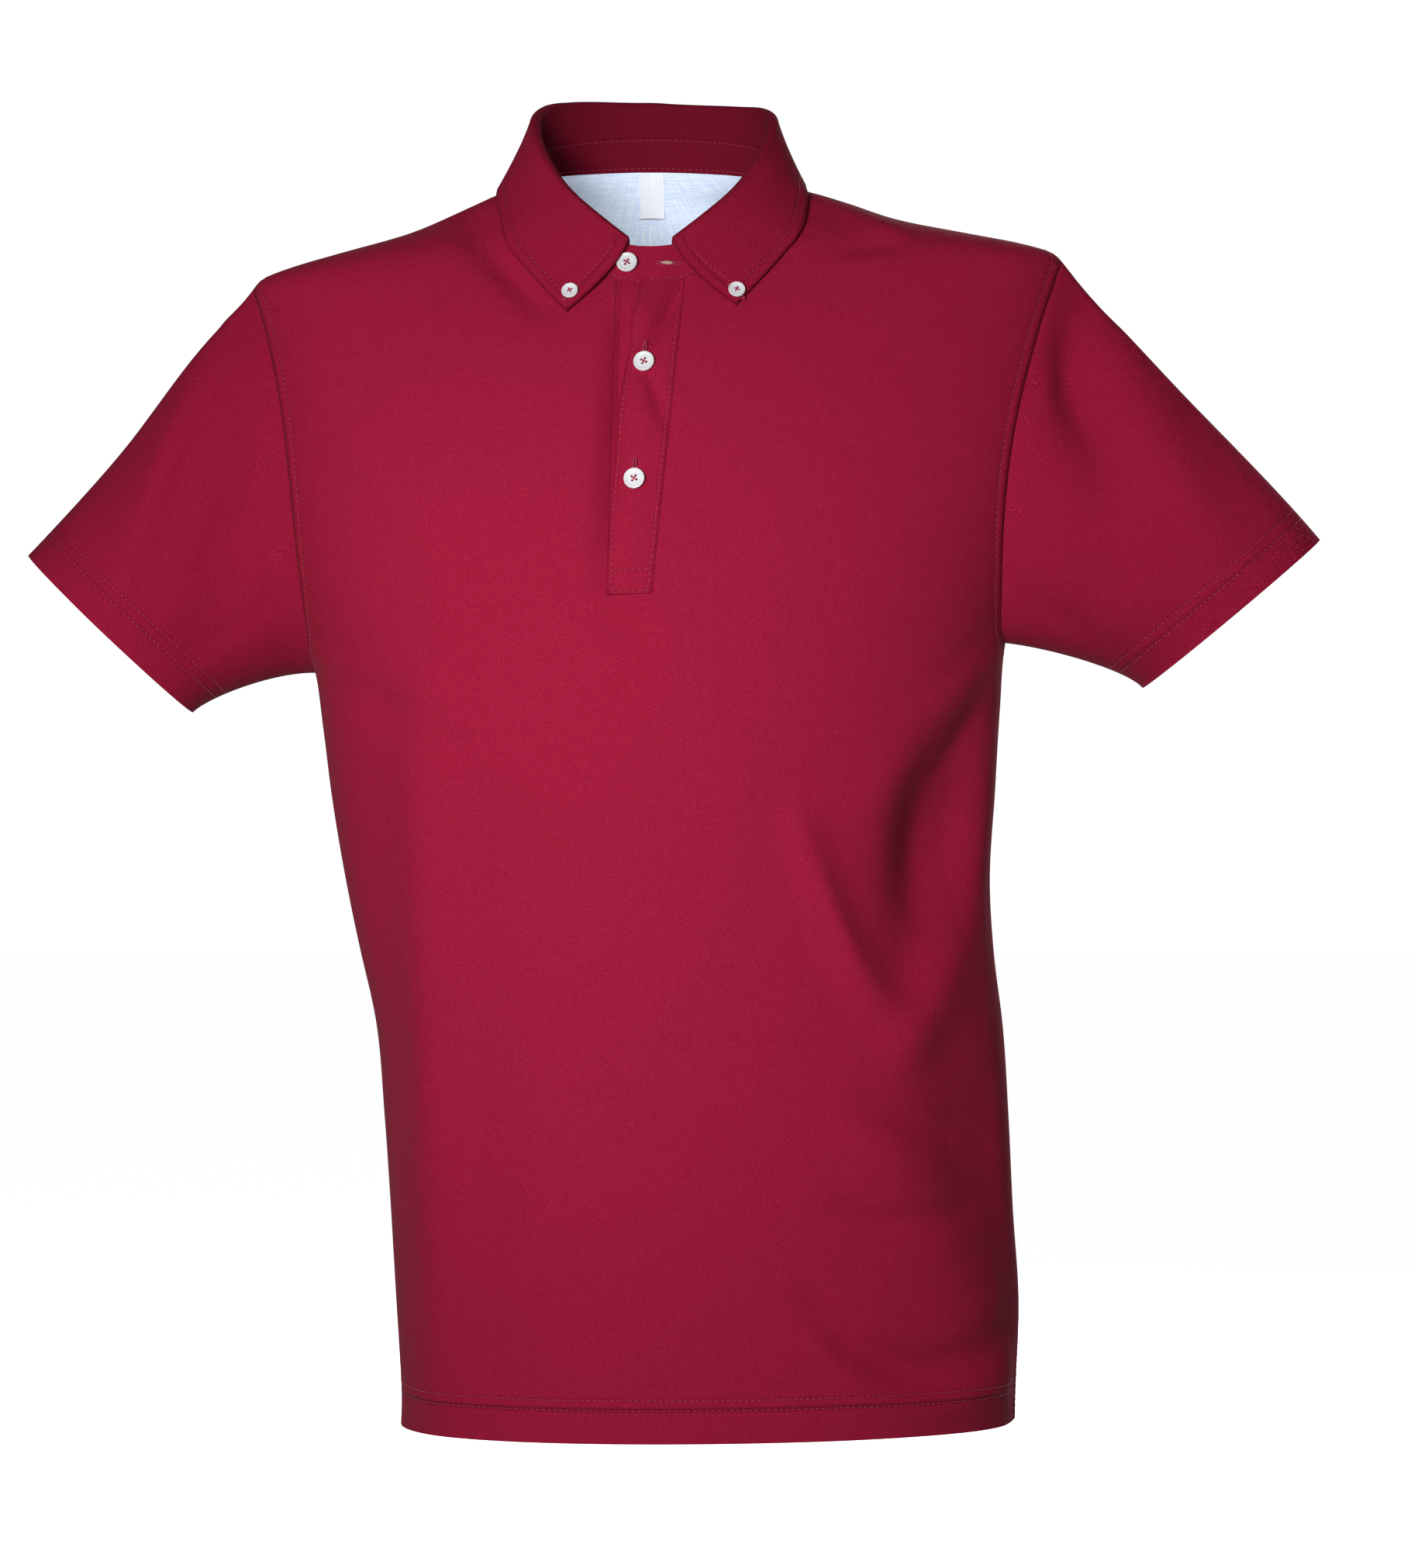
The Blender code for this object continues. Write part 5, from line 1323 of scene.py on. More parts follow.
# From the front end to the back: the angle round the neck, the height of the fold, and
# the outer edge as an angle and a level on the torso.
LeafStation = namedtuple("LeafStation", "angle fold_height edge_angle edge_level")
LEAF_STATIONS = (
    LeafStation(10.5, -0.0345, 11.8, -0.0775),
    LeafStation(25.0, -0.0215, 16.4, -0.0560),
    LeafStation(45.0, -0.0035, 28.0, -0.0320),
    LeafStation(65.0, 0.0175, 52.0, -0.0120),
    LeafStation(90.0, 0.0385, 90.0, -0.0030),
    LeafStation(112.0, 0.0480, 113.0, -0.0015),
    LeafStation(135.0, 0.0520, 135.0, 0.0000),
    LeafStation(180.0, 0.0550, 180.0, 0.0010),
)


def leaf_value(name, around):
    """One column of the leaf's table, the same on both sides of the neck."""
    angles = [math.radians(station.angle) for station in LEAF_STATIONS]
    return smooth(angles, [getattr(station, name) for station in LEAF_STATIONS], np.abs(around))


def leaf_edge(around):
    """The leaf's outer edge as angles and levels, on an even curve through its stations."""
    turns = np.radians([station.angle for station in LEAF_STATIONS])
    levels = np.array([station.edge_level for station in LEAF_STATIONS])
    reach = np.radians([station.edge_angle for station in LEAF_STATIONS])
    ends = [smooth_torso(sign * reach, levels) for sign in (-1.0, 1.0)]
    curves = [
        np.stack([smooth(turns, end[:, axis], np.abs(around)) for axis in range(3)], axis=-1)
        for end in ends
    ]
    return to_torso(np.where((around < 0)[..., None], curves[0], curves[1]))


def leaf_surface(around, rows):
    """The leaf's face that shows: up inside the neck, over the roll and down to its edge.

    The rows are named by their stretch and how far along it they are.
    """
    outward = stand_outward(around)
    upper, under = (neck_angle(seam[0]) for seam in (PLACKET_RIGHT_SEAM, PLACKET_LEFT_SEAM))
    lift = np.where(
        around > 0,
        layer_offset(around, upper, neck_angle(UPPER_FREE_EDGE[0]), LAYER_STEP),
        layer_offset(around, under, neck_angle(UNDER_FREE_EDGE[0]), -LAYER_STEP),
    )
    up = np.array([0.0, 0.0, 1.0])
    foot = stand_top(around) + outward * (lift - CLOTH)[..., None] + up * SEAM_GAP
    crest = leaf_value("fold_height", around) + COLLAR_BACK_LEAN * foot[..., 0] * ease(-np.cos(around))
    crest = np.maximum(crest, foot[..., 2] + ROLL_RADIUS + SEAM_GAP)
    axis = foot + outward * ROLL_RADIUS
    axis[..., 2] = crest - ROLL_RADIUS
    edge_angle, edge_level = leaf_edge(around)
    edge = torso(edge_angle, edge_level) + torso_normal(edge_angle, edge_level) * LEAF_LIFT
    shoulder = axis + outward * ROLL_RADIUS
    bend = shoulder + (edge - shoulder) * LEAF_BEND_SHARE + outward * LEAF_BEND_OUT - up * LEAF_BEND_DROP
    from_end = (np.abs(around) - math.radians(LEAF_END_ANGLE)) / math.radians(LEAF_BULGE_REACH)
    end_bulge = LEAF_BULGE * np.sign(around) * ease(1 - from_end)
    points = []
    for stretch, s in rows:
        if stretch == "rise":
            points.append(foot * (1 - s) + (axis - outward * ROLL_RADIUS) * s)
        elif stretch == "roll":
            turn = math.pi * (1 - s)
            points.append(axis + (outward * math.cos(turn) + up * math.sin(turn)) * ROLL_RADIUS)
        else:
            place = shoulder * (1 - s) ** 2 + bend * 2 * s * (1 - s) + edge * s**2
            place[..., 0] -= end_bulge * math.sin(math.pi * s)
            points.append(place)
    return np.stack(points)


def leaf_columns():
    """Angles round the neck from the left front end, past the back, to the right one."""
    end = math.radians(LEAF_END_ANGLE)
    left = np.linspace(-end, -math.pi / 2, LEAF_SIDE_COLUMNS + 1)
    rear = np.linspace(-math.pi / 2, -math.pi, LEAF_BACK_COLUMNS + 1)
    half = np.concatenate([left, rear[1:]])
    return np.concatenate([half, -half[::-1][1:]])


def grid_normal(points):
    """The normals of a grid of points, from its rows and columns."""
    return unit(np.cross(np.gradient(points, axis=1), np.gradient(points, axis=0)))


def collar_leaf():
    """The leaf: sewn to the stand, rolled over and lying on the shoulders."""
    around = leaf_columns()
    rise = [("rise", s / RISE_ROWS) for s in range(RISE_ROWS)]
    roll = [("roll", s / ROLL_ROWS) for s in range(ROLL_ROWS)]
    fall = [("fall", s / FALL_ROWS) for s in range(FALL_ROWS + 1)]
    outer = leaf_surface(around, rise + roll + fall)
    middle = len(around) // 2
    outer[:, middle] = (outer[:, middle - 1] + outer[:, middle + 1]) / 2
    area = grid_area(outer)
    normals = grid_normal(outer)
    normals[0] = -stand_outward(around)
    if np.sum(normals[1] * normals[0]) < 0:
        normals[1:] *= -1
    flat = flat_places(outer, even_start(outer))
    top = RISE_ROWS + ROLL_ROWS
    edges = np.concatenate([outer[top:, 0], outer[-1], outer[top:, -1][::-1]])
    from_edge = line_distances(outer, edges[::2])
    from_edge[:top] = 1.0
    # The leaf's face inside the neck, up the rise and into the roll, gets painted shade
    inside_shade_rows = 1 - ease((np.arange(len(outer)) - RISE_ROWS - 2) / ROLL_ROWS)
    facts = {
        "from_leaf_edge": from_edge,
        "inside_painted_shade": np.broadcast_to(inside_shade_rows[:, None], outer.shape[:2]),
    }
    # Painted shade darkens the whole leaf a little, its stitch row and a thin line along its edge
    finish = knit("pique_leaf", [
        Valley("from_leaf_edge", LEAF_STITCHES, 0.0010, 0.00030),
        Valley("from_leaf_edge", 0.0002, 0.0010, 0.00050),
    ], painted_shade=SLEEVE_LEAF_PAINTED_SHADE)
    made = cloth_wall("leaf_cloth", outer, outer - normals * CLOTH, flat, facts, finish)
    return made, area, outer, normals


def leaf_row(outer, normals, inset):
    """A row on the leaf, a way in from its three free edges."""
    top = RISE_ROWS + ROLL_ROWS + 2
    fall, outward = outer[top:], normals[top:]
    lengths = run_along(fall)
    total = lengths[-1]
    first = int(np.searchsorted(run_along(fall[-6]), inset))
    last = fall.shape[1] - 1 - first

    def at(column, length):
        return [
            np.array([np.interp(length, lengths[:, column], grid[:, column, axis]) for axis in range(3)])
            for grid in (fall, outward)
        ]

    start = LEAF_STITCH_START
    places = [at(first, length) for length in np.linspace(start, total[first] - inset, LEAF_END_PLACES)]
    places += [at(column, total[column] - inset) for column in range(first + 1, last)]
    places += [at(last, length) for length in np.linspace(total[last] - inset, start, LEAF_END_PLACES)]
    return np.array([place[0] for place in places]), np.array([place[1] for place in places])


leaf, leaf_area, leaf_outer, leaf_normals = collar_leaf()
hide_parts("collar_leaf")
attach(leaf, "root")
leaf_stitches = stitches("leaf_stitches", [leaf_row(leaf_outer, leaf_normals, LEAF_STITCHES)])


# Neck facing: a half moon of pale blue fine woven cotton inside the back, sewn along the
# neck seam and down the shoulders.

TRIM_CLOTH = 0.0010
FACING_DEPTH = 0.082
FACING_MARGIN = 0.15
FACING_ROWS = 24
FACING_COLUMNS = 72
FACING_SEAM_DROP = 0.004
FACING_POINTEDNESS = 0.93
FACING_RUN_ROW = 8
FACING_PITCH = 0.0007
FACING_ROUGHNESS = 0.78
WEAVE_RELIEF_SHARE = 0.12
SLUB_SCALES = ((60.0, 900.0, 1.0), (900.0, 60.0, 1.0))
SLUB_RANGE = (0.78, 1.25)
FACING_WEAVE = ((0.580, 0.710, 0.940, 1.0), (0.790, 0.860, 0.980, 1.0))


def back_inside(across, down, depth):
    """A place on the back's cloth, moved inwards: across 0 to 1, and metres down from the neck."""
    column = np.clip(across, 0, 1) * BACK_COLUMNS
    first = np.clip(np.floor(column).astype(int), 0, BACK_COLUMNS - 1)
    share = (column - first)[..., None]
    inner = back_outer - back_normals * depth
    lengths = run_along(back_outer)
    points = np.zeros(np.shape(across) + (3,))
    normals = np.zeros_like(points)
    for place in np.ndindex(np.shape(across)):
        k, s = first[place], share[place]
        for grid, result in ((inner, points), (back_normals, normals)):
            ends = [
                [np.interp(down[place], lengths[:, c], grid[:, c, axis]) for axis in range(3)]
                for c in (k, k + 1)
            ]
            result[place] = np.array(ends[0]) * (1 - s) + np.array(ends[1]) * s
    return points, unit(normals)


def weave(name, colour, other, pitch, roughness):
    """Fine plain weave: two thread directions, with slubs of a second tint."""
    finish, tree, shader = new_finish(name)
    place = shader_node(tree, "UVMap", uv_map="cloth").outputs["UV"]
    apart = shader_node(tree, "SeparateXYZ", {"Vector": place})
    waves = [
        maths(tree, "COSINE", maths(tree, "MULTIPLY", apart.outputs[axis], math.tau / pitch))
        for axis in ("X", "Y")
    ]
    over = maths(tree, "MULTIPLY_ADD", maths(tree, "MULTIPLY", *waves), 0.5, 0.5)
    slubs = [
        noise(tree, shader_node(tree, "Mapping", {"Vector": place, "Scale": scale}).outputs["Vector"], 1.0)
        for scale in SLUB_SCALES
    ]
    streak = rescaled(tree, maths(tree, "ADD", *slubs), SLUB_RANGE)
    height = maths(tree, "MULTIPLY", over, pitch * WEAVE_RELIEF_SHARE)
    bump = shader_node(tree, "Bump", {"Distance": 1.0, "Height": height})
    put_in(tree, shader, {
        "Base Color": mixed(tree, colour, other, streak),
        "Normal": bump.outputs["Normal"],
        "Roughness": roughness,
        "Specular IOR Level": 0.3,
    })
    return finish


def neck_facing():
    """The facing: deepest at the middle of the back and narrow at the shoulders."""
    t = np.linspace(-1, 1, FACING_COLUMNS + 1)
    across = 0.5 + t * (0.5 - FACING_MARGIN)
    swell = np.sqrt(np.clip(1 - FACING_POINTEDNESS * t**2, 0, 1))
    down = FACING_SEAM_DROP + (FACING_DEPTH - FACING_SEAM_DROP) * swell
    share = np.linspace(0, 1, FACING_ROWS + 1)[:, None]
    across = np.broadcast_to(across, (FACING_ROWS + 1, len(t)))
    points, normals = back_inside(across, share * down, CLOTH + SEAM_GAP)
    drop = run_along(points)
    flat = np.stack([np.broadcast_to(run_along(points[FACING_RUN_ROW]), drop.shape), -drop], axis=-1)
    finish = weave("blue_weave", *FACING_WEAVE, FACING_PITCH, FACING_ROUGHNESS)
    made = cloth_wall("facing_cloth", points, points - normals * TRIM_CLOTH, flat, {}, finish)
    return made, grid_area(points)


facing, facing_area = neck_facing()
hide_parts("neck_facing")
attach(facing, "root")


# Label: a small blank white satin label, sewn in under the neck seam at the middle of
# the back. It hangs over the facing, and its lower end curls away a little.

LABEL_WIDTH = 0.0140
LABEL_LENGTH = 0.0280
LABEL_MIDDLE = -0.0006
LABEL_ROWS = 14
LABEL_COLUMNS = 8
LABEL_THICKNESS_SHARE = 0.6
LABEL_CURL = 0.0012
LABEL_CORNER_CURL = 0.0005
LABEL_DRIFT = 0.0006
LABEL_PITCH = 0.0004
LABEL_ROUGHNESS = 0.45
LABEL_WEAVE = ((0.74, 0.78, 0.85, 1.0), (0.82, 0.85, 0.90, 1.0))


def label_piece():
    """The label's cloth, with its curl."""
    share = np.linspace(0, 1, LABEL_ROWS + 1)[:, None]
    across = np.linspace(-1, 1, LABEL_COLUMNS + 1)[None, :]
    share, across = np.broadcast_arrays(share, across)
    points, normals = back_inside(np.full(share.shape, 0.5), share * LABEL_LENGTH, CLOTH + TRIM_CLOTH)
    lift = 2 * SEAM_GAP + LABEL_CURL * share**2 + LABEL_CORNER_CURL * share * across**2
    points = points - normals * lift[..., None]
    points[..., 0] = LABEL_MIDDLE + across * LABEL_WIDTH / 2 + LABEL_DRIFT * share
    flat = np.stack([across * LABEL_WIDTH / 2, -share * LABEL_LENGTH], axis=-1)
    finish = weave("label_satin_cloth", *LABEL_WEAVE, LABEL_PITCH, LABEL_ROUGHNESS)
    inner = points - normals * TRIM_CLOTH * LABEL_THICKNESS_SHARE
    return cloth_wall("label_cloth", points, inner, flat, {}, finish)


label = label_piece()
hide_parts("label")
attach(label, "root")


# Buttons: glossy white resin discs with a raised rim and four holes, three down the
# front and a smaller one at each collar point, sewn on with crossed burgundy thread.

BUTTON_RADIUS = 0.0060
COLLAR_BUTTON_RADIUS = 0.0048
BUTTON_THICKNESS = 0.0022
BUTTON_TOP = BUTTON_THICKNESS / 2
BUTTON_FLOOR = BUTTON_TOP - 0.0006
BUTTON_SEAT = 0.0009
BUTTON_SHARP_ANGLE = 38.0
BUTTON_HOLE_PLACE = 0.27
BUTTON_HOLE_RADIUS = 0.125
NECK_BUTTON_ANGLE = -11.0
NECK_BUTTON_HEIGHT = 0.50
NECK_BUTTON_SLANT = 0.1
SEAT_END_ANGLE = 60.0
SEAT_FALL_START = 0.5
SEAT_PLACES = 120
ButtonPlace = namedtuple("ButtonPlace", "x z slant")
PLACKET_BUTTONS = {
    "button_second": ButtonPlace(-0.0028, -0.1076, 0.15),
    "button_third": ButtonPlace(-0.0079, -0.1741, 0.0),
}
COLLAR_BUTTONS = {
    "collar_button_left": ButtonPlace(-0.0450, -0.0671, -0.4),
    "collar_button_right": ButtonPlace(0.0485, -0.0665, 0.4),
}
# A button's section from its floor over the rim to its back: share of the radius, height
BUTTON_SECTION = (
    (0.66, BUTTON_FLOOR), (0.72, BUTTON_FLOOR + 0.0001), (0.78, BUTTON_TOP - 0.0001),
    (0.86, BUTTON_TOP), (0.94, BUTTON_TOP - 0.0001), (0.99, BUTTON_TOP - 0.0005), (1.00, 0.0),
    (0.97, 0.0005 - BUTTON_TOP), (0.88, -BUTTON_TOP), (0.66, -BUTTON_TOP),
)
STRAND_APART = 0.00017
STRAND_RISE = 0.00012
STRAND_OVER = 0.00018
STRAND_REACH = 0.345
STRAND_WIDTH = 0.00024
STRAND_HEIGHT = 0.00030
SHANK_RADII = (0.0011, 0.0010)
SHANK_OVERLAP = 0.0004
RESIN_DULL = (0.86, 0.87, 0.91, 1.0)
RESIN_BRIGHT = (0.94, 0.94, 0.96, 1.0)
RESIN_CLOUD_SCALE = 240.0
RESIN_ROUGHNESS = (0.12, 0.28)


def resin():
    """White polyester resin with a faint pearly cloud and a clear gloss."""
    finish, tree, shader = new_finish("white_resin")
    cloud = noise(tree, object_place(tree), RESIN_CLOUD_SCALE, 3.0)
    put_in(tree, shader, {
        "Base Color": mixed(tree, RESIN_DULL, RESIN_BRIGHT, cloud),
        "Roughness": rescaled(tree, cloud, end=RESIN_ROUGHNESS),
        "Coat Weight": 0.4,
        "Coat Roughness": 0.08,
    })
    return finish


WHITE_RESIN = resin()


def button_disc(name, radius, place):
    """A disc with a raised rim and four holes."""
    bm = bmesh.new()
    verts = [bm.verts.new((radius * share, 0.0, height)) for share, height in BUTTON_SECTION]
    edges = [bm.edges.new(pair) for pair in zip(verts[:-1], verts[1:])]
    bmesh.ops.spin(
        bm, geom=verts + edges, cent=(0, 0, 0), axis=(0, 0, 1), angle=math.tau, steps=40, use_merge=True)
    rims = [edge for edge in bm.edges if edge.is_boundary]
    faces = (BUTTON_FLOOR, -BUTTON_TOP)
    loops = {level: [] for level in faces}
    for quarter in range(4):
        turn = math.pi / 4 + quarter * math.pi / 2
        for level in faces:
            centre = Vector((math.cos(turn), math.sin(turn), 0.0)) * radius * BUTTON_HOLE_PLACE
            centre.z = level
            ring = bmesh.ops.create_circle(
                bm, segments=12, radius=radius * BUTTON_HOLE_RADIUS, matrix=Matrix.Translation(centre))
            loops[level].append(list({edge for vert in ring["verts"] for edge in vert.link_edges}))
    for above, below in zip(*loops.values()):
        bmesh.ops.bridge_loops(bm, edges=above + below)
    for level in faces:
        border = [edge for edge in rims if abs(edge.verts[0].co.z - level) < 1e-7]
        inner = [edge for loop in loops[level] for edge in loop]
        bmesh.ops.triangle_fill(bm, edges=border + inner, use_beauty=True, use_dissolve=False)
    bmesh.ops.remove_doubles(bm, verts=bm.verts[:], dist=1e-7)
    bmesh.ops.recalc_face_normals(bm, faces=bm.faces[:])
    bmesh.ops.transform(bm, matrix=place, verts=bm.verts[:])
    return piece_of(name, bm, WHITE_RESIN, BUTTON_SHARP_ANGLE)


def button_thread(name, radius, place):
    """Two crossed pairs of strands over a button's holes, and the shank under it."""
    bm = bmesh.new()
    for cross, over in ((math.pi / 4, STRAND_OVER), (-math.pi / 4, 0.0)):
        for apart in (-STRAND_APART, STRAND_APART):
            strand = (
                place @ Matrix.Rotation(cross, 4, "Z")
                @ Matrix.Translation((0.0, apart, BUTTON_FLOOR + STRAND_RISE + over))
                @ Matrix.Diagonal((radius * STRAND_REACH, STRAND_WIDTH, STRAND_HEIGHT, 1.0))
            )
            bmesh.ops.create_icosphere(bm, subdivisions=2, radius=1.0, matrix=strand)
    shank = place @ Matrix.Translation((0.0, 0.0, -BUTTON_TOP - BUTTON_SEAT / 2))
    bmesh.ops.create_cone(
        bm, cap_ends=True, segments=12, radius1=SHANK_RADII[0], radius2=SHANK_RADII[1],
        depth=BUTTON_SEAT + SHANK_OVERLAP, matrix=shank)
    return piece_of(name, bm, BURGUNDY_THREAD)


def button(name, radius, seat, outward, slant):
    """A button lying on the cloth at its seat, and the thread that holds it."""
    outward = Vector(outward)
    facing_out = Vector((0.0, 0.0, 1.0)).rotation_difference(outward).to_matrix().to_4x4()
    place = Matrix.Translation(Vector(seat) + outward * (BUTTON_SEAT + BUTTON_TOP)) @ facing_out
    place = place @ Matrix.Rotation(slant, 4, "Z")
    disc = button_disc(name + "_disc", radius, place)
    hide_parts(name)
    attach(disc, "root")
    sewn = button_thread(name + "_thread", radius, place)
    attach(sewn, "root")


def stand_seat(angle, height, seam, free, lift):
    """A place on one of the stand's front ends: where, the way it faces, and lengthwise."""
    around = np.array([angle])
    lift = layer_offset(around, neck_angle(seam[0]), neck_angle(free[0]), lift)
    low, seat, high = (
        stand_surface(around, np.array([share]), lift)[0] for share in (0.0, height, 1.0))
    outward = unit(np.cross(np.cross(high - low, stand_outward(around)[0]), high - low))
    return seat, outward, unit(np.cross(outward, high - low))


def placket_seat(x, level):
    """A place on the upper placket strip, and the way it faces."""
    top = neckline(neck_angle(x))[1]
    fraction = (level - top) / (PLACKET_FOOT - top)
    seam, free = placket_edge(PLACKET_RIGHT_SEAM, fraction), placket_edge(UPPER_FREE_EDGE, fraction)
    outward = torso_normal(on_front(x, level), level)
    return torso(on_front(x, level), level) + outward * layer_offset(x, seam, free, LAYER_STEP), outward


def collar_seat(x, z):
    """A place near one of the leaf's points, and the way it faces."""
    turns = np.sign(x) * np.radians(np.linspace(LEAF_END_ANGLE, SEAT_END_ANGLE, SEAT_PLACES))
    places = leaf_surface(turns, [("fall", s) for s in np.linspace(SEAT_FALL_START, 1.0, SEAT_PLACES)])
    away = np.hypot(places[..., 0] - x, places[..., 2] - z)
    nearest = np.unravel_index(np.argmin(away), away.shape)
    outward = grid_normal(places)[nearest]
    return places[nearest], outward if outward[1] < 0 else -outward


neck_seat = stand_seat(
    math.radians(NECK_BUTTON_ANGLE), NECK_BUTTON_HEIGHT, PLACKET_LEFT_SEAM, UNDER_FREE_EDGE, -LAYER_STEP)
button("button_neck", BUTTON_RADIUS, neck_seat[0], neck_seat[1], NECK_BUTTON_SLANT)
for name, spot in PLACKET_BUTTONS.items():
    button(name, BUTTON_RADIUS, *placket_seat(spot.x, np.array(spot.z)), spot.slant)
collar_seats = {name: collar_seat(spot.x, spot.z) for name, spot in COLLAR_BUTTONS.items()}
for name, spot in COLLAR_BUTTONS.items():
    button(name, COLLAR_BUTTON_RADIUS, *collar_seats[name], spot.slant)


# Buttonholes: slits edged with close burgundy stitches, one along the stand's front end,
# one upright behind each placket button and one slanting at each collar point.

HOLE_STITCHES = 13
HOLE_HALF_GAP = 0.00075
HOLE_STITCH_REACH = 0.00062
HOLE_STITCH_SHARE = 0.55
HOLE_STITCH_HEIGHT = 0.00030
HOLE_STITCH_RISE = 0.00005
HOLE_BAR_SIZE = (0.00135, 0.00035, 0.00034)
HOLE_BAR_PLACE = 0.52
HOLE_BAR_RISE = 0.00008
PLACKET_HOLE = 0.0150
PLACKET_HOLE_RISE = 0.0035
STAND_HOLE = 0.0130
STAND_HOLE_X = 0.0105
STAND_HOLE_HEIGHT = 0.52
COLLAR_HOLE = 0.0120
COLLAR_HOLE_SLANT = 0.75


def buttonhole(bm, middle, along, outward, length):
    """Close crosswise stitches on both sides of a slit, and a bar at each end."""
    along, outward = Vector(along).normalized(), Vector(outward).normalized()
    across = outward.cross(along).normalized()
    turned = Matrix((across, along, outward)).transposed().to_4x4()

    def sew(shift, size):
        shape = Matrix.Translation(Vector(middle) + shift) @ turned @ Matrix.Diagonal((*size, 1.0))
        bmesh.ops.create_icosphere(bm, subdivisions=1, radius=1.0, matrix=shape)

    stitch = HOLE_STITCH_REACH, length / HOLE_STITCHES * HOLE_STITCH_SHARE, HOLE_STITCH_HEIGHT
    for side in (-1, 1):
        for step in range(HOLE_STITCHES):
            shift = along * length * ((step + 0.5) / HOLE_STITCHES - 0.5)
            sew(shift + across * side * HOLE_HALF_GAP + outward * HOLE_STITCH_RISE, stitch)
    for end in (-1, 1):
        sew(along * length * HOLE_BAR_PLACE * end + outward * HOLE_BAR_RISE, HOLE_BAR_SIZE)


def all_buttonholes():
    """The stitched edges of the five buttonholes."""
    bm = bmesh.new()
    for spot in PLACKET_BUTTONS.values():
        middle, outward = placket_row(np.array(spot.x), np.array(spot.z + PLACKET_HOLE_RISE))
        buttonhole(bm, middle, (0.0, 0.0, 1.0), outward, PLACKET_HOLE)
    middle, outward, along = stand_hole
    buttonhole(bm, middle, along, outward, STAND_HOLE)
    for middle, outward in collar_seats.values():
        slant = np.array([COLLAR_HOLE_SLANT * np.sign(middle[0]), 0.0, -1.0])
        buttonhole(bm, middle, slant - outward * (slant @ outward), outward, COLLAR_HOLE)
    return piece_of("buttonholes", bm, BURGUNDY_THREAD)


stand_hole = stand_seat(
    neck_angle(STAND_HOLE_X), STAND_HOLE_HEIGHT, PLACKET_RIGHT_SEAM, UPPER_FREE_EDGE, LAYER_STEP)
buttonholes = all_buttonholes()
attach(buttonholes, "root")

# The stand's empty buttonhole gapes a little and shows the pale interlining behind it
SLIT_SIZE = (0.0038, 0.00130, 0.00034)
SLIT_SHIFT = 0.0010
INTERLINING = (0.56, 0.47, 0.38, 1.0)


def stand_slit():
    """The sliver of interlining in the stand's buttonhole."""
    finish, tree, shader = new_finish("interlining")
    put_in(tree, shader, {"Base Color": INTERLINING, "Roughness": 0.9})
    middle, outward, along = stand_hole
    turned = Matrix((along, np.cross(outward, along), outward)).transposed().to_4x4()
    place = Matrix.Translation(Vector(middle + along * SLIT_SHIFT)) @ turned
    bm = bmesh.new()
    bmesh.ops.create_icosphere(
        bm, subdivisions=2, radius=1.0, matrix=place @ Matrix.Diagonal((*SLIT_SIZE, 1.0)))
    return piece_of("stand_slit", bm, finish)


slit = stand_slit()
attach(slit, "root")


# Studio: a pale floor, a soft key light from the front and a little left, weak ones for
# the neck and the right sleeve, one from behind, and the photograph's view.

FLOOR_LEVEL = -0.86
FLOOR_HALF_SIZE = 14.0
FLOOR_GLOW = 0.9
CAMERA_PLACE = (0.031, -3.2, -0.343)
CAMERA_LENS = 128.0
CAMERA_SENSOR = 36.0
CAMERA_REACH = 60.0
SURROUND_LIGHT = 0.10
BACKDROP_LIGHT = 1.05
Light = namedtuple("Light", "name place aim size power spread")
LIGHTS = (
    Light("key", (-0.42, -1.70, -0.14), (0.0, 0.0, -0.31), 0.5, 3.5, 66.0),
    Light("neck", (0.08, -1.40, 0.24), (-0.01, 0.05, 0.0), 0.5, 0.58, 24.0),
    Light("sleeve", (1.30, -1.10, 0.90), (0.36, 0.0, -0.14), 0.3, 0.05, 12.0),
    Light("behind", (0.5, 2.2, 0.60), (0.0, 0.0, -0.3), 1.4, 42.0, 180.0),
)


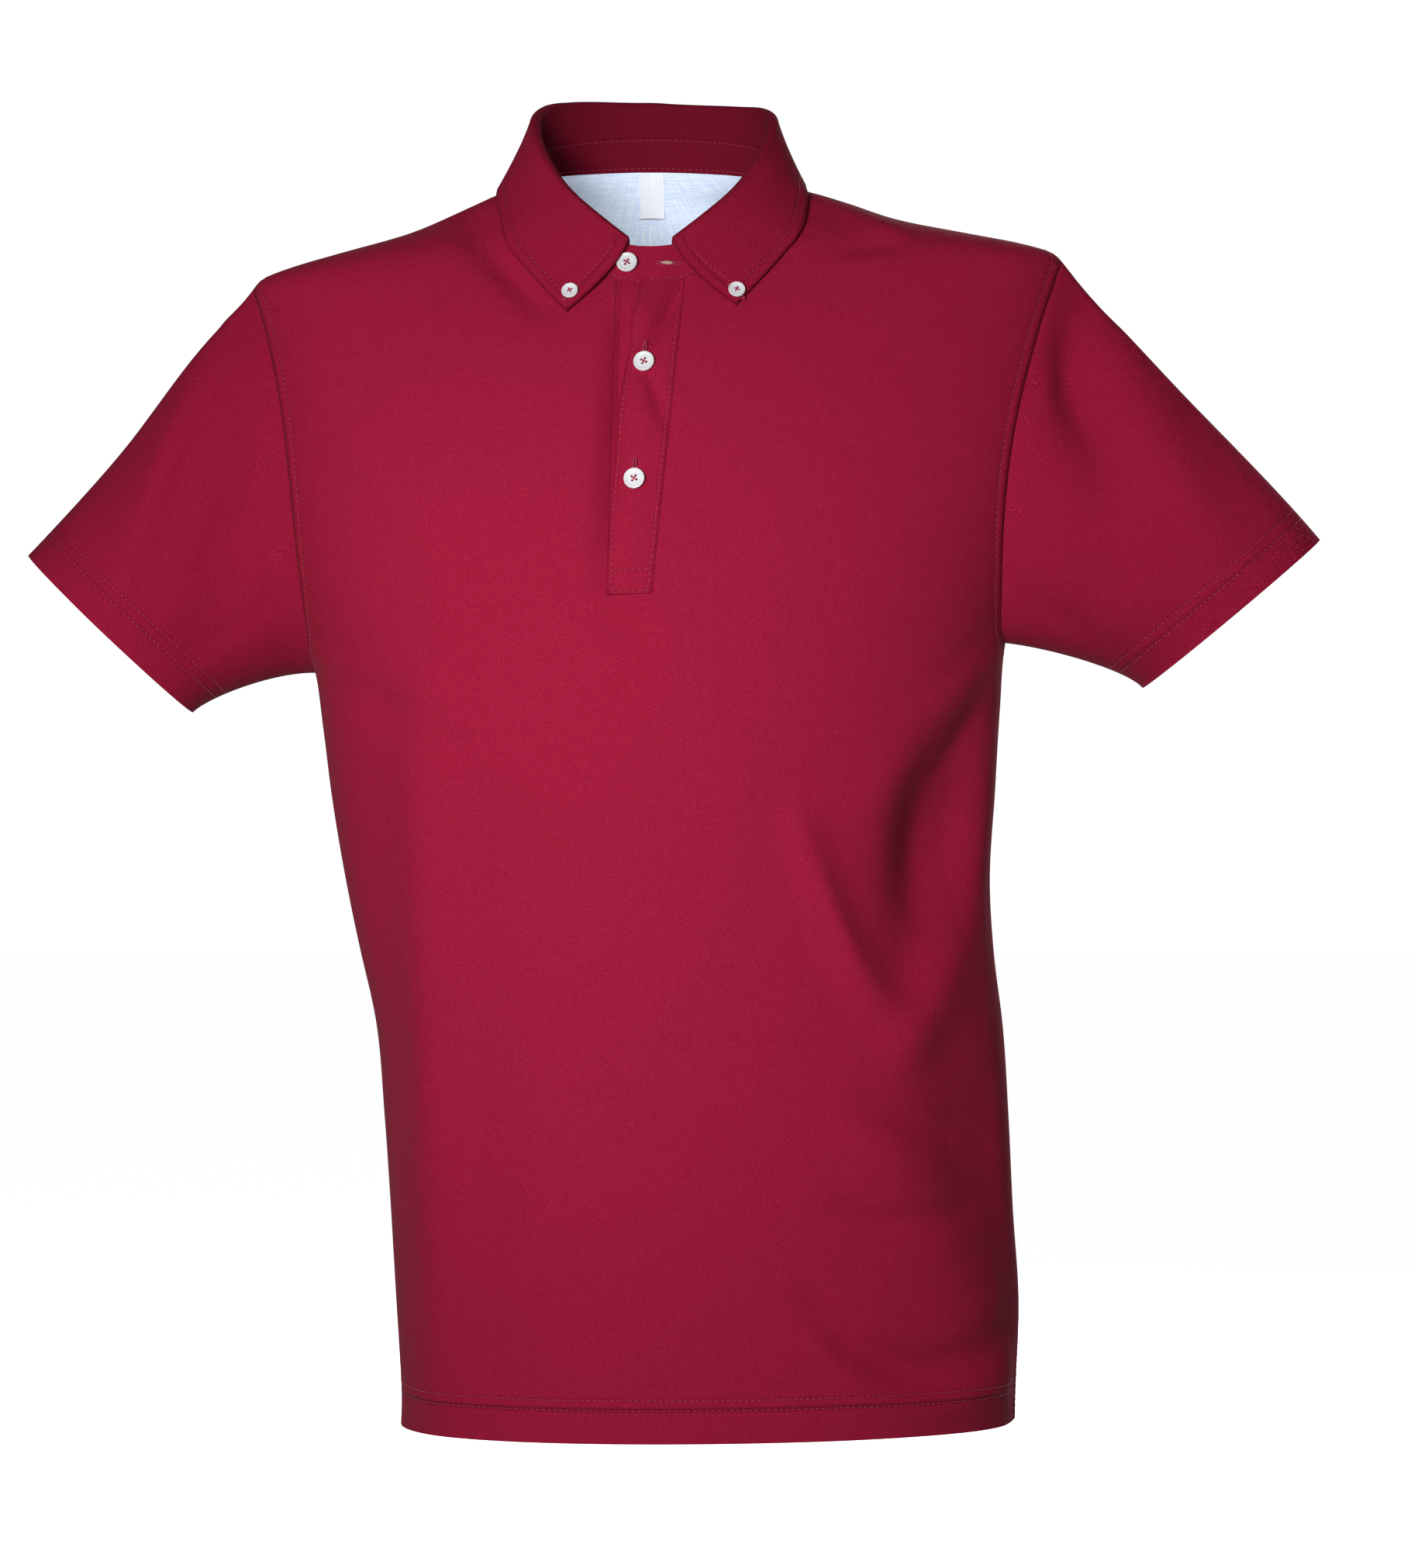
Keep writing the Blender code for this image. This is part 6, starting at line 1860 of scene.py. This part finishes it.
def soft_box(light):
    """A square soft box that points at a place on the shirt."""
    lamp = bpy.data.lights.new(light.name, "AREA")
    lamp.shape = "SQUARE"
    lamp.size = light.size
    lamp.energy = light.power
    lamp.spread = math.radians(light.spread)
    made = bpy.data.objects.new(light.name, lamp)
    made.location = light.place
    made.rotation_euler = (Vector(light.aim) - Vector(light.place)).to_track_quat("-Z", "Y").to_euler()
    bpy.context.scene.collection.objects.link(made)
    return made


def studio_floor():
    """A wide pale floor that glows a little, so that it fades into the backdrop."""
    finish, tree, shader = new_finish("pale_floor")
    put_in(tree, shader, {
        "Base Color": (0.92, 0.92, 0.92, 1.0),
        "Roughness": 1.0,
        "Emission Color": (1.0, 1.0, 1.0, 1.0),
        "Emission Strength": FLOOR_GLOW,
    })
    bm = bmesh.new()
    bmesh.ops.create_grid(
        bm, x_segments=1, y_segments=1, size=FLOOR_HALF_SIZE,
        matrix=Matrix.Translation((0, 0, FLOOR_LEVEL)))
    made = piece_of("studio_floor", bm, finish)
    made.visible_diffuse = False
    return made


def backdrop():
    """A white backdrop for the camera, which lights the shirt only a little."""
    world = bpy.data.worlds.new("studio")
    world.use_nodes = True
    tree = world.node_tree
    seen = shader_node(tree, "LightPath").outputs["Is Camera Ray"]
    strength = rescaled(tree, seen, end=(SURROUND_LIGHT, BACKDROP_LIGHT))
    put_in(tree, tree.nodes["Background"], {"Strength": strength, "Color": (1.0, 1.0, 1.0, 1.0)})
    return world


def camera():
    """The photograph's view, level with the middle of the shirt."""
    lens = bpy.data.cameras.new("camera")
    lens.sensor_fit = "VERTICAL"
    lens.sensor_height = CAMERA_SENSOR
    lens.lens = CAMERA_LENS
    lens.clip_end = CAMERA_REACH
    made = bpy.data.objects.new("camera", lens)
    made.location = CAMERA_PLACE
    made.rotation_euler = (math.pi / 2, 0.0, 0.0)
    bpy.context.scene.collection.objects.link(made)
    return made


studio_floor()
lamps = {light.name: soft_box(light) for light in LIGHTS}
pale_cloth = bpy.data.collections.new("pale_cloth")
pale_cloth.objects.link(facing)
pale_cloth.objects.link(label)
lamps["neck"].light_linking.receiver_collection = pale_cloth
bpy.context.scene.world = backdrop()
bpy.context.scene.camera = camera()
bpy.context.scene.view_settings.view_transform = "Standard"
bpy.context.scene.view_settings.look = "None"
